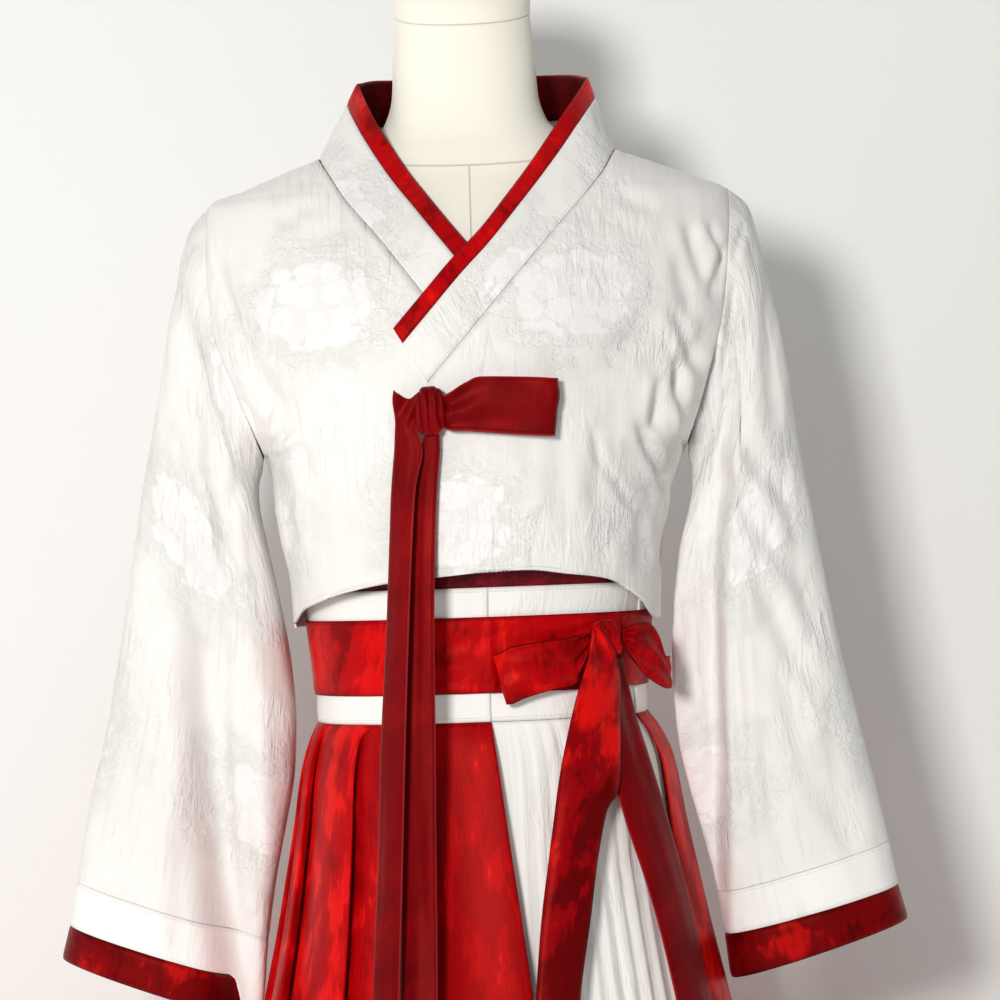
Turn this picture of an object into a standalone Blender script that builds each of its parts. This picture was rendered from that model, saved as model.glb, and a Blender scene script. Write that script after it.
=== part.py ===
"""A Korean hanbok dressed on a limbless dress form.

Short white jacket (jeogori) lapped left over right with a red-edged collar, a red chest tie,
a white pleated underskirt, a red pleated wrap overskirt, a red belt with a bow, and the
cream form with its pole and base.

Frame: the front faces -Y, the wearer's left is +X, up is +Z, the floor under the stand is Z = 0.
Every size below is in millimetres. Heights in the tables are from DATUM, a level just under the
bust. side = +1 is the wearer's left, side = -1 the wearer's right.
"""

import math

import bmesh
import bpy
import numpy as np

MM = 0.001
DATUM = 1182.0

# ------------------------------------------------------------------ driving sizes
CLOTH = 1.4          # wall of the jacket, sleeves and skirts
SATIN = 1.2          # wall of ties, bodice and waistbands
BELT_CLOTH = 1.5
BELT_OUT = 5.2       # inside of the belt, out from the form
SEAM = 0.35          # gap left between two pieces at a seam
LAP = 2.6            # the lapping front stands this far off the one below

ROUND = 2.4          # how square the torso's level sections are
SHOULDER_TIP, ARMPIT = 243.0, 40.0
ARMHOLE_DEPTH = 52.0
ARM_STEPS = 12       # divisions of half an armhole, shared by body and sleeve

WAIST_TOP, WAIST_LOW = -68.0, -171.0
BELT_TOP, BELT_LOW = -90.5, -149.0
BODICE_TOP, BODICE_LOW = 40.0, -95.0
HEM = -1092.0

OVERLAP_LEFT, OVERLAP_RIGHT = -35.0, 45.0   # edges of the two fronts below the collar
TRIM_SHARE = 0.28    # red edge's share of the collar's width

OVER_PLEATS, UNDER_PLEATS = 12, 60
ROUND_STEPS = 40     # divisions of a level section, shared by the form and every band on it

POLE_RADIUS, BASE_RADIUS, BASE_THICK = 16.0, 210.0, 14.0


def columns(names, rows):
    data = np.array(rows, float)
    return {name: data[:, i] for i, name in enumerate(names.split())}


# Level sections of the jacket: half widths each way, depths, and how bluntly the side turns.
# Up to ARMPIT the width is the side seam, then the armhole, then the shoulder line and the neck.
TORSO = columns("z left right front back edge", [
    (-100, -150, 140.5, 133, 113, 0.45),
    (-60, -152, 142.5, 134, 114, 0.45),
    (-30, -157, 146, 135, 116, 0.45),
    (0, -160, 152, 135.5, 118, 0.46),
    (40, -169, 167, 136, 121, 0.55),
    (85, -185, 181, 134, 123, 0.72),
    (140, -203, 196, 125, 122, 0.82),
    (195, -207, 203, 107, 113, 0.72),
    (225, -207, 205.5, 90, 101, 0.58),
    (243, -206, 206, 78, 92, 0.50),
    (253.05, -180, 180, 72, 88, 0.50),
    (264.65, -150, 150, 66, 86.5, 0.50),
    (277, -118, 118, 61, 87, 0.50),
    (292, -99, 100, 59, 88, 0.50),
    (300, -91, 97, 58, 87.5, 0.50),
    (317, -88, 97, 50, 86, 0.50),
    (337, -86, 99, 30, 84, 0.50),
    (352, -84, 97, 28, 83, 0.50),
])

# The jacket's front hem rises over the belt and dips at the sides.
HEMLINE = columns("x z", [
    (-160, -97), (-149, -92), (-142, -83), (-125, -74), (-105, -66.5), (-75, -61), (-30, -58.5),
    (0, -56), (40, -52.5), (65, -55.5), (88, -58), (102, -62), (112, -71), (124, -83), (133, -96),
    (150, -99),
])
BACK_HEM = -95.0

# The collar from its front end (t = 0) up to the side of the neck (t = 1) and on to the middle
# of the back (t = 2): the seam on the body and the free edge, as seen from the front.
COLLAR = {
    +1: columns("t seam_x seam_z free_x free_z", [
        (0.0, -35, 89, -60, 131.7),
        (0.1, -12, 115.5, -37, 158),
        (0.2, 11, 142, -14, 184.5),
        (0.3, 34, 168.5, 9, 208.5),
        (0.4, 57, 195, 29.5, 234.8),
        (0.5, 78, 219.2, 49, 261),
        (0.6, 96, 240, 64, 283),
        (0.7, 107, 254.5, 76, 301),
        (0.8, 114, 267, 87, 317),
        (0.9, 117.5, 274.5, 95, 329),
        (1.0, 118, 277, 99, 336),
        (1.2, 113, 279.5, 95, 341),
        (1.4, 96, 286, 82, 346),
        (1.6, 63, 290.5, 54, 349.5),
        (1.8, 30, 292, 26, 351),
        (2.0, 0, 292, 0, 351.5),
    ]),
    -1: columns("t seam_x seam_z free_x free_z", [
        (0.0, 10, 95, 51, 125),
        (0.1, -14, 127, 27, 157),
        (0.2, -37.5, 159.2, 3.8, 190),
        (0.3, -54.7, 183, -17, 217.7),
        (0.4, -71.9, 206.6, -32, 238.5),
        (0.5, -85.5, 223.5, -45, 257),
        (0.6, -97.7, 239.5, -57, 277),
        (0.7, -107, 255, -68.4, 297),
        (0.8, -114, 267, -76.5, 314),
        (0.9, -117.5, 274.5, -82.5, 328),
        (1.0, -118, 277, -85.5, 337.5),
        (1.2, -113, 279.5, -82, 342),
        (1.4, -96, 286, -72, 346.5),
        (1.6, -63, 290.5, -48, 349.5),
        (1.8, -30, 292, -23, 351),
        (2.0, 0, 292, 0, 351.5),
    ]),
}

# Sections of the sleeves: outer and inner point of each ring and its half depth.
SLEEVE = {
    +1: columns("s out_x out_z in_x in_z depth", [
        (0.000, 206, 243, 169.6, 40, 52),
        (0.035, 222, 229, 171.5, 31, 51),
        (0.075, 229, 207, 173, 20, 50),
        (0.130, 236, 176, 172, 4, 48),
        (0.200, 243.5, 138, 167, -18, 46),
        (0.280, 249.5, 93, 160, -44, 45),
        (0.370, 256, 38, 154.5, -78, 44),
        (0.460, 264, -15, 151, -116, 44),
        (0.550, 273, -70, 150.5, -155, 44),
        (0.640, 283, -125, 153, -196, 44),
        (0.730, 296, -185, 161, -237, 43),
        (0.820, 308, -240, 172, -280, 42),
        (0.900, 316.5, -281, 180, -318, 42),
        (0.950, 323, -316, 184.5, -351, 42),
        (1.000, 330, -343, 188, -386, 42),
    ]),
    -1: columns("s out_x out_z in_x in_z depth", [
        (0.000, 206, 243, 171.6, 40, 52),
        (0.035, 222, 226, 175, 29, 51),
        (0.075, 230.5, 203, 177.5, 17, 50),
        (0.130, 237, 171, 176.5, 0, 48),
        (0.200, 245, 132, 172, -24, 46),
        (0.280, 253, 88, 166.5, -52, 45),
        (0.370, 263, 38, 160, -88, 44),
        (0.460, 272, -10, 155, -126, 44),
        (0.550, 281, -62, 153, -165, 44),
        (0.640, 291, -115, 155, -207, 44),
        (0.730, 303, -173, 163, -250, 43),
        (0.820, 318, -232, 172.5, -294, 43),
        (0.900, 330, -291, 180.5, -342, 43),
        (0.950, 337, -326, 185, -377, 43),
        (1.000, 344, -352, 190, -407, 43),
    ]),
}
BAND_AT, TRIM_AT = 0.90, 0.95

# The largest fold down the front of each sleeve: where it runs, how deep and how wide.
SLEEVE_FOLD = {
    +1: columns("z x deep wide", [
        (-400, 180, 0.2, 12), (-300, 184.5, 0.80, 12), (-200, 186, 0.85, 12), (-100, 189, 0.85, 12),
        (0, 196.5, 0.75, 12), (60, 201, 0.4, 13), (120, 204, 0.0, 14),
    ]),
    -1: columns("z x deep wide", [
        (-400, 197, 0.60, 18), (-350, 202, 0.60, 18), (-300, 208, 0.62, 19), (-200, 214, 0.62, 20),
        (-130, 220, 0.50, 20), (-60, 229, 0.30, 20), (0, 234, 0.0, 20),
    ]),
}

# Level sections of the dress form.
FORM = columns("z half shift front back edge", [
    (-380, 118, -3, 87, 92, 0.43),
    (-370, 127, -3, 93, 97, 0.43),
    (-330, 134, -3, 98, 102, 0.43),
    (-270, 135, -3, 97, 98, 0.43),
    (-220, 131, -3, 96.5, 92, 0.43),
    (-171, 127, -3, 98.5, 89, 0.43),
    (-149, 127, -3, 98.5, 88, 0.43),
    (-90.5, 132, -3, 100, 90, 0.43),
    (-68, 133.5, -2.5, 101.5, 92.5, 0.43),
    (0, 141, 0, 113, 103, 0.43),
    (40, 150, 0, 124, 110, 0.43),
    (85, 161, 0, 129, 116, 0.43),
    (140, 175, 0, 120, 116.5, 0.44),
    (195, 187, 0, 102, 107, 0.46),
    (225, 190, 0, 84, 95, 0.48),
    (243, 186, 0, 72, 87, 0.50),
    (253.7, 174.4, 0, 65, 80, 0.50),
    (263.7, 148.2, 0, 60, 75.5, 0.50),
    (275.7, 114, 0, 55, 74, 0.50),
    (288, 82, 0, 50, 72, 0.48),
    (303, 65, 0, 47, 70, 0.45),
    (325, 58.5, 0, 45, 66, 0.44),
    (350, 57, 0, 44.5, 64.5, 0.44),
    (394, 54, 0, 44, 63.5, 0.44),
])
NECK_TILT = 0.36     # the top of the neck slopes down to the front

# Outside of the overskirt at its fold edges, the depth of its pleats, how far each fold turns
# back under the next one, and where its end at the wearer's left hangs, in degrees from the
# front. The underskirt keeps inside by `inset`, with folds `fine` deep.
SKIRT = columns("z half shift front back square deep under end inset fine", [
    (-1092, 332, 0, 290, 285, 2.00, 26, 15, 66, 33, 13),
    (-700, 252, 0, 211, 206, 2.00, 18, 11, 66, 23, 9),
    (-400, 187, 0, 149, 147, 2.05, 12, 8, 67, 17, 6),
    (-334, 172.5, 0, 138, 136, 2.08, 10.5, 7, 70, 15, 5.2),
    (-290, 164, 0, 130, 129, 2.10, 9.5, 6.5, 72, 14, 4.6),
    (-255, 157.5, 0, 123.5, 122, 2.15, 8.5, 6, 73.5, 12.5, 4.0),
    (-210, 150, 0, 114.5, 112, 2.20, 7, 5, 74.5, 10.5, 3.4),
    (-186, 141, -1.5, 109, 104, 2.30, 4.5, 2, 71, 6.6, 2.0),
    (-171.4, 132, -3, 103.5, 94.0, 2.40, 0.8, -9, 67, 2.3, 0.6),
])


# ------------------------------------------------------------------ curves and surfaces
def smooth_curve(x, y, at):
    """A smooth curve through the rows (x, y) that never swings past them."""
    x, y = np.asarray(x, float), np.asarray(y, float)
    at = np.clip(np.asarray(at, float), x[0], x[-1])
    h = np.diff(x)
    d = np.diff(y) / h
    m = np.empty_like(y)
    a, b = d[:-1], d[1:]
    wa, wb = h[1:] + 2 * h[:-1], 2 * h[1:] + h[:-1]
    same = a * b > 0
    m[1:-1] = np.where(same, (wa + wb) / (wa / np.where(same, b, 1) + wb / np.where(same, a, 1)), 0)
    m[0], m[-1] = d[0], d[-1]
    i = np.clip(np.searchsorted(x, at, side="right") - 1, 0, len(h) - 1)
    t = (at - x[i]) / h[i]
    return ((1 + 2 * t) * (1 - t) ** 2 * y[i] + t * (1 - t) ** 2 * h[i] * m[i]
            + t * t * (3 - 2 * t) * y[i + 1] + t * t * (t - 1) * h[i] * m[i + 1])


def row_of(table, key, at):
    return smooth_curve(table[next(iter(table))], table[key], at)


def ease(t):
    t = np.clip(t, 0, 1)
    return t * t * (3 - 2 * t)


def unit(v):
    return v / np.maximum(np.linalg.norm(v, axis=-1, keepdims=True), 1e-9)


def armhole_depth(z):
    c = np.clip((2 * z - SHOULDER_TIP - ARMPIT) / (SHOULDER_TIP - ARMPIT), -1, 1)
    return ARMHOLE_DEPTH * np.sqrt(1 - c * c)


def torso_y(x, z, facing):
    """Depth of the jacket at (x, z); facing = -1 is the front, +1 the back."""
    x, z = np.broadcast_arrays(np.asarray(x, float), np.asarray(z, float))
    width = np.where(x < 0, -row_of(TORSO, "left", z), row_of(TORSO, "right", z))
    depth = row_of(TORSO, "front" if facing < 0 else "back", z)
    u = np.clip(np.abs(x) / width, 0, 1)
    side = armhole_depth(z)
    return facing * (side + (depth - side) * (1 - u ** ROUND) ** row_of(TORSO, "edge", z))


def torso_width(side, z):
    return row_of(TORSO, "right" if side > 0 else "left", z)


def lap(x):
    """How far the lapping front stands off, over the part it covers."""
    return LAP * (1 - ease((np.asarray(x, float) - 72) / 35))


def collar_point(side, t, f):
    """Collar at station t, f of the way from its seam (0) to its free edge (1)."""
    tab = COLLAR[side]
    t = np.asarray(t, float)
    sx, sz, fx, fz = (row_of(tab, k, t) for k in ("seam_x", "seam_z", "free_x", "free_z"))
    facing = np.where(t <= 1, -1, 1)
    x, z = sx + (fx - sx) * f, sz + (fz - sz) * f
    depth = [np.where(facing < 0, torso_y(a, b, -1), torso_y(a, b, 1)) for a, b in ((sx, sz), (fx, fz), (x, z))]
    lie = 1 - ease((t - 0.45) / 0.3)
    y = lie * depth[2] + (1 - lie) * (depth[0] * (1 - f) + depth[1] * f)
    if side > 0:
        y = y - np.where(t <= 1, lap(x), 0)
    return np.stack([x, y, z + 0 * x], -1)


def armhole_angles():
    return np.linspace(0, math.pi, ARM_STEPS + 1)


def armhole_z(angle):
    return (SHOULDER_TIP + ARMPIT) / 2 + (SHOULDER_TIP - ARMPIT) / 2 * np.cos(angle)


def armhole_normal(side, angle, facing):
    """Shared lie of the cloth at the armhole seam, from shoulder tip (0) to armpit (pi)."""
    n = np.stack([side * (0.28 + 0 * angle), facing * np.sin(angle), np.cos(angle)], -1)
    return unit(n)


def sleeve_point(side, s, angle):
    """A sleeve ring: angle 0 is its outer edge, the front comes first, pi is the inner edge."""
    tab = SLEEVE[side]
    ox, oz, ix, iz, depth = (row_of(tab, k, s) for k in ("out_x", "out_z", "in_x", "in_z", "depth"))
    c, sn = np.cos(angle), np.sin(angle)
    x = (ox + ix) / 2 + (ox - ix) / 2 * c
    z = (oz + iz) / 2 + (oz - iz) / 2 * c
    # near the armhole the seam bows outwards
    seam_x = torso_width(side, armhole_z(np.arccos(c))) * side
    chord = (tab["out_x"][0] + tab["in_x"][0]) / 2 + (tab["out_x"][0] - tab["in_x"][0]) / 2 * c
    x = x + np.clip(1 - np.asarray(s, float) / 0.2, 0, 1) ** 1.5 * (seam_x - chord)
    blunt = 1 - 0.28 * ease(np.asarray(s, float) / 0.25)
    y = -depth * np.sign(sn) * np.abs(sn) ** blunt
    fold = SLEEVE_FOLD[side]
    fx, deep, wide = (row_of(fold, k, z) for k in ("x", "deep", "wide"))
    if side > 0:
        cut = deep * ease((fx - x) / wide + 0.5)
    else:
        cut = deep * np.exp(-(((x - fx) / wide) ** 2))
    y = np.where(sn > 0, y * (1 - cut), y)
    return np.stack([side * x, y, z], -1)


def level_ring(half, front, back, square, edge, angle):
    """A level section; angle 0 is the front, positive turns to the wearer's left."""
    sx = np.sin(angle)
    g = (1 - np.abs(sx) ** square) ** edge
    return np.stack([half * sx, np.where(np.cos(angle) > 0, -front, back) * g], -1)


def waist_ring(z, out, angle):
    """A level section round the form, `out` away from it; straight between the table's rows."""
    half, shift, front, back, edge = (np.interp(z, FORM["z"], FORM[k]) for k in ("half", "shift", "front", "back", "edge"))
    xy = level_ring(half + out, front + out, back + out, ROUND, edge, angle)
    return np.stack([xy[..., 0] + shift, xy[..., 1], z + 0 * xy[..., 0]], -1)


def even_angles(count, first, last, z=WAIST_LOW):
    """Angles that divide the waist evenly by length between two angles, in radians."""
    fine = np.linspace(first, last, 2001)
    ring = waist_ring(z, 4, fine)
    run = np.concatenate([[0], np.cumsum(np.linalg.norm(np.diff(ring, axis=0), axis=1))])
    return np.interp(np.linspace(0, run[-1], count + 1), run, fine)


def skirt_xy(z, angle, inward):
    """Skirt section at height z: `inward` from the outside of the overskirt's folds."""
    half, shift, front, back, square = (row_of(SKIRT, k, z) for k in ("half", "shift", "front", "back", "square"))
    edge = 0.5 - 0.07 * ease((z + 400) / 229)
    xy = level_ring(half, front, back, square, edge, angle)
    flat = unit(xy / np.stack([half ** 2 + 0 * xy[..., 0], ((front + back) / 2) ** 2 + 0 * xy[..., 0]], -1))
    return xy - flat * np.asarray(inward)[..., None] + (shift, 0)


def wrap_angle(z):
    """Front edge of the overskirt: it hangs nearly straight while the skirt widens."""
    x = 4.3 + 0.119 * (WAIST_LOW - z)
    return math.asin(min((x - row_of(SKIRT, "shift", z)) / float(row_of(SKIRT, "half", z)), 0.9))


def wrap_ends(z):
    """Angles of the overskirt's two ends, from its front edge back round to the wearer's left."""
    return wrap_angle(z), math.radians(float(row_of(SKIRT, "end", z)) - 360)


def offset_row(row, half_wall, closed):
    """The two sides of a wall along a level line of points, square to it."""
    nxt = np.roll(row, -1, 0) - row
    prv = row - np.roll(row, 1, 0)
    if not closed:
        nxt[-1], prv[0] = prv[-1], nxt[0]
    a, b = unit(prv), unit(nxt)
    na, nb = np.stack([a[:, 1], -a[:, 0]], -1), np.stack([b[:, 1], -b[:, 0]], -1)
    n = unit(na + nb)
    reach = np.minimum(1 / np.maximum((n * na).sum(-1), 0.05), 2.6)
    return row + n * (half_wall * reach)[:, None], row - n * (half_wall * reach)[:, None]


# ------------------------------------------------------------------ solids
PARTS = []
COLOURS = {
    "jacquard": (0.86, 0.84, 0.82, 1), "white band": (0.88, 0.86, 0.84, 1), "red satin": (0.42, 0.008, 0.012, 1),
    "red tie": (0.28, 0.006, 0.012, 1), "burgundy": (0.09, 0.004, 0.012, 1), "jersey": (0.87, 0.83, 0.72, 1),
    "dark red": (0.16, 0.005, 0.01, 1), "painted metal": (0.75, 0.74, 0.70, 1),
}
MATERIALS = {}


def material(name):
    if name not in MATERIALS:
        m = bpy.data.materials.new(name)
        m.use_nodes = True
        shader = m.node_tree.nodes["Principled BSDF"]
        shader.inputs["Base Color"].default_value = COLOURS[name]
        shader.inputs["Roughness"].default_value = 0.45 if "red" in name or name == "burgundy" else 0.7
        shader.inputs["Metallic"].default_value = 0.0
        MATERIALS[name] = m
    return MATERIALS[name]


def solid(name, points, faces, look):
    """An object from points in millimetres from DATUM, made one closed body facing out."""
    mesh = bpy.data.meshes.new(name)
    scaled = (np.asarray(points, float) + (0, 0, DATUM)) * MM
    mesh.from_pydata([tuple(map(float, p)) for p in scaled], [], faces)
    bm = bmesh.new()
    bm.from_mesh(mesh)
    bmesh.ops.recalc_face_normals(bm, faces=bm.faces)
    bm.to_mesh(mesh)
    bm.free()
    mesh.materials.append(material(look))
    mesh.shade_smooth()
    obj = bpy.data.objects.new(name, mesh)
    PARTS.append(obj)
    return obj


def between(name, outer, inner, look, loop=False):
    """A closed wall between two grids of points; with loop, its rows run round and meet."""
    nu, nv = outer.shape[:2]
    points = np.concatenate([outer.reshape(-1, 3), inner.reshape(-1, 3)])
    half = nu * nv

    def at(layer, i, j):
        return layer * half + (i % nu) * nv + j

    faces = []
    for i in range(nu if loop else nu - 1):
        for j in range(nv - 1):
            # both sides are split along the same diagonal, so the wall keeps its thickness
            for layer, turn in ((0, 1), (1, -1)):
                a, b, c, d = at(layer, i, j), at(layer, i + 1, j), at(layer, i + 1, j + 1), at(layer, i, j + 1)
                faces += [(a, b, c)[::turn], (a, c, d)[::turn]]
        for j, turn in ((0, 1), (nv - 1, -1)):
            faces.append((at(0, i, j), at(1, i, j), at(1, i + 1, j), at(0, i + 1, j))[::turn])
    if not loop:
        for i, turn in ((0, -1), (nu - 1, 1)):
            for j in range(nv - 1):
                faces.append((at(0, i, j), at(1, i, j), at(1, i, j + 1), at(0, i, j + 1))[::turn])
    return solid(name, points, faces, look)


def grid_normals(mid, loop=False):
    du = np.roll(mid, -1, 0) - np.roll(mid, 1, 0) if loop else np.gradient(mid, axis=0)
    return unit(np.cross(du, np.gradient(mid, axis=1)))


def wall(name, mid, thick, look, loop=False, normals=None):
    n = grid_normals(mid, loop) if normals is None else normals
    return between(name, mid + n * thick / 2, mid - n * thick / 2, look, loop)


def capped(name, rings, look):
    """A solid through closed rings of points, capped at both ends."""
    nu, nv = rings.shape[:2]
    points = rings.reshape(-1, 3)
    faces = [(i * nv + j, i * nv + (j + 1) % nv, (i + 1) * nv + (j + 1) % nv, (i + 1) * nv + j)
             for i in range(nu - 1) for j in range(nv)]
    faces += [tuple(range(nv))[::-1], tuple((nu - 1) * nv + j for j in range(nv))]
    return solid(name, points, faces, look)


# ------------------------------------------------------------------ jacket
def body_grid(side, cols):
    """One half of the jacket, from the front hem over the shoulder to the back hem."""
    ang = armhole_angles()
    up_t, back_t = np.linspace(0, 1, ARM_STEPS + 1), np.linspace(1, 2, ARM_STEPS // 2 + 1)
    tab = COLLAR[side]
    edge_x = OVERLAP_LEFT if side > 0 else OVERLAP_RIGHT
    foot_x, foot_z = tab["seam_x"][0], tab["seam_z"][0]
    low_z = foot_z - 30
    rows = []      # inner x, inner z, outer z, facing, kind
    hem_in = float(row_of(HEMLINE, "z", edge_x))
    for share, outer in ((0, None), (0.3, -58), (0.6, -25), (0.85, 10)):
        z = hem_in + (low_z - hem_in) * share / 0.85
        rows.append((edge_x, z, -96.5 if outer is None else outer, -1))
    for t, a in zip(up_t, ang[::-1]):
        rows.append((float(row_of(tab, "seam_x", t)), float(row_of(tab, "seam_z", t)), float(armhole_z(a)), -1))
    for t, a in list(zip(back_t, ang))[1:]:
        rows.append((float(row_of(tab, "seam_x", t)), float(row_of(tab, "seam_z", t)), float(armhole_z(a)), 1))
    middle = side * SEAM / 2
    rows[-1] = (middle,) + rows[-1][1:]
    half = ARM_STEPS // 2
    for k, z in zip(range(half + 1, ARM_STEPS + 1), (262, 226, 188, 152, 118, 84)):
        rows.append((middle, z, float(armhole_z(ang[k])), 1))
    for z, outer in ((45, 10), (0, -25), (-47, -58), (BACK_HEM, -96.5)):
        rows.append((middle, z, outer, 1))
    t = np.linspace(0, 1, cols + 1)
    grid = []
    for i, (ix, iz, oz, facing) in enumerate(rows):
        ox = float(torso_width(side, oz))
        x = ix + (ox - ix) * np.sin(t * math.pi / 2) ** 0.85
        z = iz + (oz - iz) * np.abs((x - ix) / (ox - ix))
        if i == 0:
            z = row_of(HEMLINE, "z", x)
        y = torso_y(x, z, facing)
        if side > 0 and facing < 0:
            y = y - lap(x)
        y[-1] = facing * max(float(armhole_depth(oz)), SEAM / 2)
        if oz == SHOULDER_TIP:
            y[:] = 0
        grid.append(np.stack([x, y, z], -1))
    return np.array(grid)


def body_half(side, name):
    cols = 8
    grid = body_grid(side, cols)
    n = grid_normals(grid)
    first = 4
    ang = armhole_angles()
    across = np.array([side, 0.0, 0.0])
    # front edge at the side seam and armhole, then the back's
    for i in range(len(grid)):
        k = first + ARM_STEPS - i            # armhole step for front rows
        facing = -1
        if k < 0:
            k, facing = -k, 1
        out = across if k > ARM_STEPS else armhole_normal(side, ang[k], facing)
        if ARM_STEPS >= k > ARM_STEPS - 2:
            out = unit(out * (ARM_STEPS - k) / 2 + across * (1 - (ARM_STEPS - k) / 2))
        if n[i, -1] @ out < 0:
            n[i] = -n[i]
        n[i, -1] = out
    # the halves meet at the middle of the back
    for i in range(first + ARM_STEPS + ARM_STEPS // 2, len(grid)):
        n[i, 0, 0] = 0
    n = unit(n)
    wall(name, grid, CLOTH, "jacquard", normals=n)


def sleeve(side, name):
    ang = np.concatenate([armhole_angles(), armhole_angles()[1:-1] + math.pi])
    s_rows = SLEEVE[side]["s"]
    count = len(ang)
    turn = np.minimum(ang, 2 * math.pi - ang)
    grid = np.array([sleeve_point(side, np.full(count, s), ang) for s in s_rows])
    grid[0, :, 0] += side * (SEAM + 2.0 * ease((turn - 2.2) / 0.9))
    n = grid_normals(np.swapaxes(grid, 0, 1), loop=True).swapaxes(0, 1)
    n *= np.sign(n[-1, 0, 0] * side)
    facing = np.where(ang <= math.pi, -1, 1)
    for j, a in enumerate(turn):
        out = armhole_normal(side, np.array(a), facing[j])
        keep = float(ease((a - 2.5) / 0.6))
        n[0, j] = unit(out * (1 - keep) + np.array([-side, 0, -0.3]) * keep)

    def piece(label, lo, hi, look):
        first, last = grid[lo].copy(), grid[hi].copy()
        part, out = grid[lo:hi + 1].copy(), n[lo:hi + 1]
        if lo:
            part[0] = first + unit(grid[lo + 1] - first) * SEAM / 2
        if hi < len(grid) - 1:
            part[-1] = last - unit(last - grid[hi - 1]) * SEAM / 2
        part, out = part.swapaxes(0, 1), out.swapaxes(0, 1)
        between(label, part + out * CLOTH / 2, part - out * CLOTH / 2, look, loop=True)

    band, trim = int(np.argmin(abs(s_rows - BAND_AT))), int(np.argmin(abs(s_rows - TRIM_AT)))
    piece("sleeve_" + name, 0, band, "jacquard")
    piece("cuff_band_" + name, band, trim, "white band")
    piece("cuff_trim_" + name, trim, len(grid) - 1, "red satin")


def collar_stations():
    """Side and station of each row of the collar, from the under end to the over end."""
    up, back = np.linspace(0, 1, ARM_STEPS + 1), np.linspace(1, 2, ARM_STEPS // 2 + 1)
    under = [(-1, t) for t in up] + [(-1, t) for t in back[1:]]
    over = [(1, t) for t in up] + [(1, t) for t in back[1:-1]]
    return under + over[::-1]


def collar():
    rows = collar_stations()
    share = np.array([0.0, 0.36, 0.72, 1.0])
    grid = np.array([[collar_point(side, t, f) for f in share] for side, t in rows])
    n = grid_normals(grid)
    n *= -1 if n[len(rows) // 2, 1, 1] < 0 else 1
    rise = np.array([SEAM + 0.9 * ease((t - 0.5) / 0.35) for _, t in rows])
    along = unit(grid[:, -1] - grid[:, 0])

    def strip(name, cols, lift_low, thick, look, lo=0, hi=None, inward=0.0, drop_top=0.0):
        part = grid[lo:hi, cols].copy()
        part[:, 0] += along[lo:hi] * np.asarray(lift_low)[..., None]
        if drop_top:
            part[:, -1] -= along[lo:hi] * drop_top
        out = n[lo:hi, cols]
        part = part - out * inward
        wall(name, part, thick, look, normals=out)

    strip("collar_band", [0, 1, 2], rise, CLOTH, "white band")
    strip("collar_trim", [2, 3], SEAM * np.ones(len(rows)), CLOTH, "red satin")
    first = next(i for i, (side, t) in enumerate(rows) if side < 0 and t >= 0.74)
    last = len(rows) - next(i for i, (side, t) in enumerate(rows[::-1]) if t >= 0.74)
    strip("collar_facing", [1, 2, 3], np.zeros(last - first), 1.0, "dark red", first, last,
          inward=CLOTH / 2 + 0.5 + SEAM, drop_top=1.5)


# ------------------------------------------------------------------ waist and skirts
def band(name, top, low, inner, thick, look, ends=None):
    """A band round the waist between two heights, closed unless it is given its two end angles."""
    ang = np.linspace(-math.pi, math.pi, ROUND_STEPS, endpoint=False)
    if ends:
        first, last = ends
        turned = np.concatenate([ang, ang - 2 * math.pi])
        ang = np.concatenate([[first], np.sort(turned[(turned < first - 0.02) & (turned > last + 0.02)])[::-1], [last]])
    levels = [top] + [z for z in FORM["z"][::-1] if low < z < top] + [low]
    outer, inside = (np.array([[waist_ring(z, out, a) for z in levels] for a in ang]) for out in (inner + thick, inner))
    between(name, outer, inside, look, loop=not ends)


def overskirt():
    first, last = wrap_ends(WAIST_LOW)
    waist = even_angles(OVER_PLEATS, first, last)
    share = np.linspace(0, 1, OVER_PLEATS + 1)
    outer_rows, inner_rows = [], []
    for z in (-171.4, -186, -210, -290, -400, -700, HEM):
        deep, under, half = (float(row_of(SKIRT, k, z)) for k in ("deep", "under", "half"))
        start, end = wrap_ends(z)
        edge = waist + (start - first) * (1 - share) ** 2 + (end - last) * share ** 4
        line = []
        for k in range(OVER_PLEATS):
            a, b = edge[k], edge[k + 1]
            tuck = b - (under / (half * 0.85) if k < OVER_PLEATS - 1 else 0)
            line += [(a, 0.0), (a + (b - a) * 0.4, 0.30 * deep), (a + (b - a) * 0.75, 0.66 * deep), (tuck, deep)]
        angle, inward = np.array(line).T
        row = skirt_xy(z, angle, inward + CLOTH / 2)
        one, two = offset_row(row, CLOTH / 2, closed=False)
        for store, side in ((outer_rows, one), (inner_rows, two)):
            store.append(np.column_stack([side, np.full(len(side), z)]))
    between("overskirt", np.array(outer_rows).swapaxes(0, 1), np.array(inner_rows).swapaxes(0, 1), "red satin")


def underskirt():
    ang = even_angles(UNDER_PLEATS, -math.pi, math.pi)
    levels = [-171.4, -186, -210, -400, HEM + 10]
    outer_rows, inner_rows = [], []
    for z in levels:
        inset, fine = float(row_of(SKIRT, "inset", z)), float(row_of(SKIRT, "fine", z))
        line = []
        for a, b in zip(ang[:-1], ang[1:]):
            line += [(a, 0.0), (a + (b - a) * 0.6, fine)]
        angle, inward = np.array(line).T
        row = skirt_xy(z, angle, inward + inset + CLOTH / 2)
        one, two = offset_row(row, CLOTH / 2, closed=True)
        for store, side in ((outer_rows, one), (inner_rows, two)):
            store.append(np.column_stack([side, np.full(len(side), z)]))
    between("underskirt", np.array(outer_rows).swapaxes(0, 1), np.array(inner_rows).swapaxes(0, 1),
            "white band", loop=True)


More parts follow.
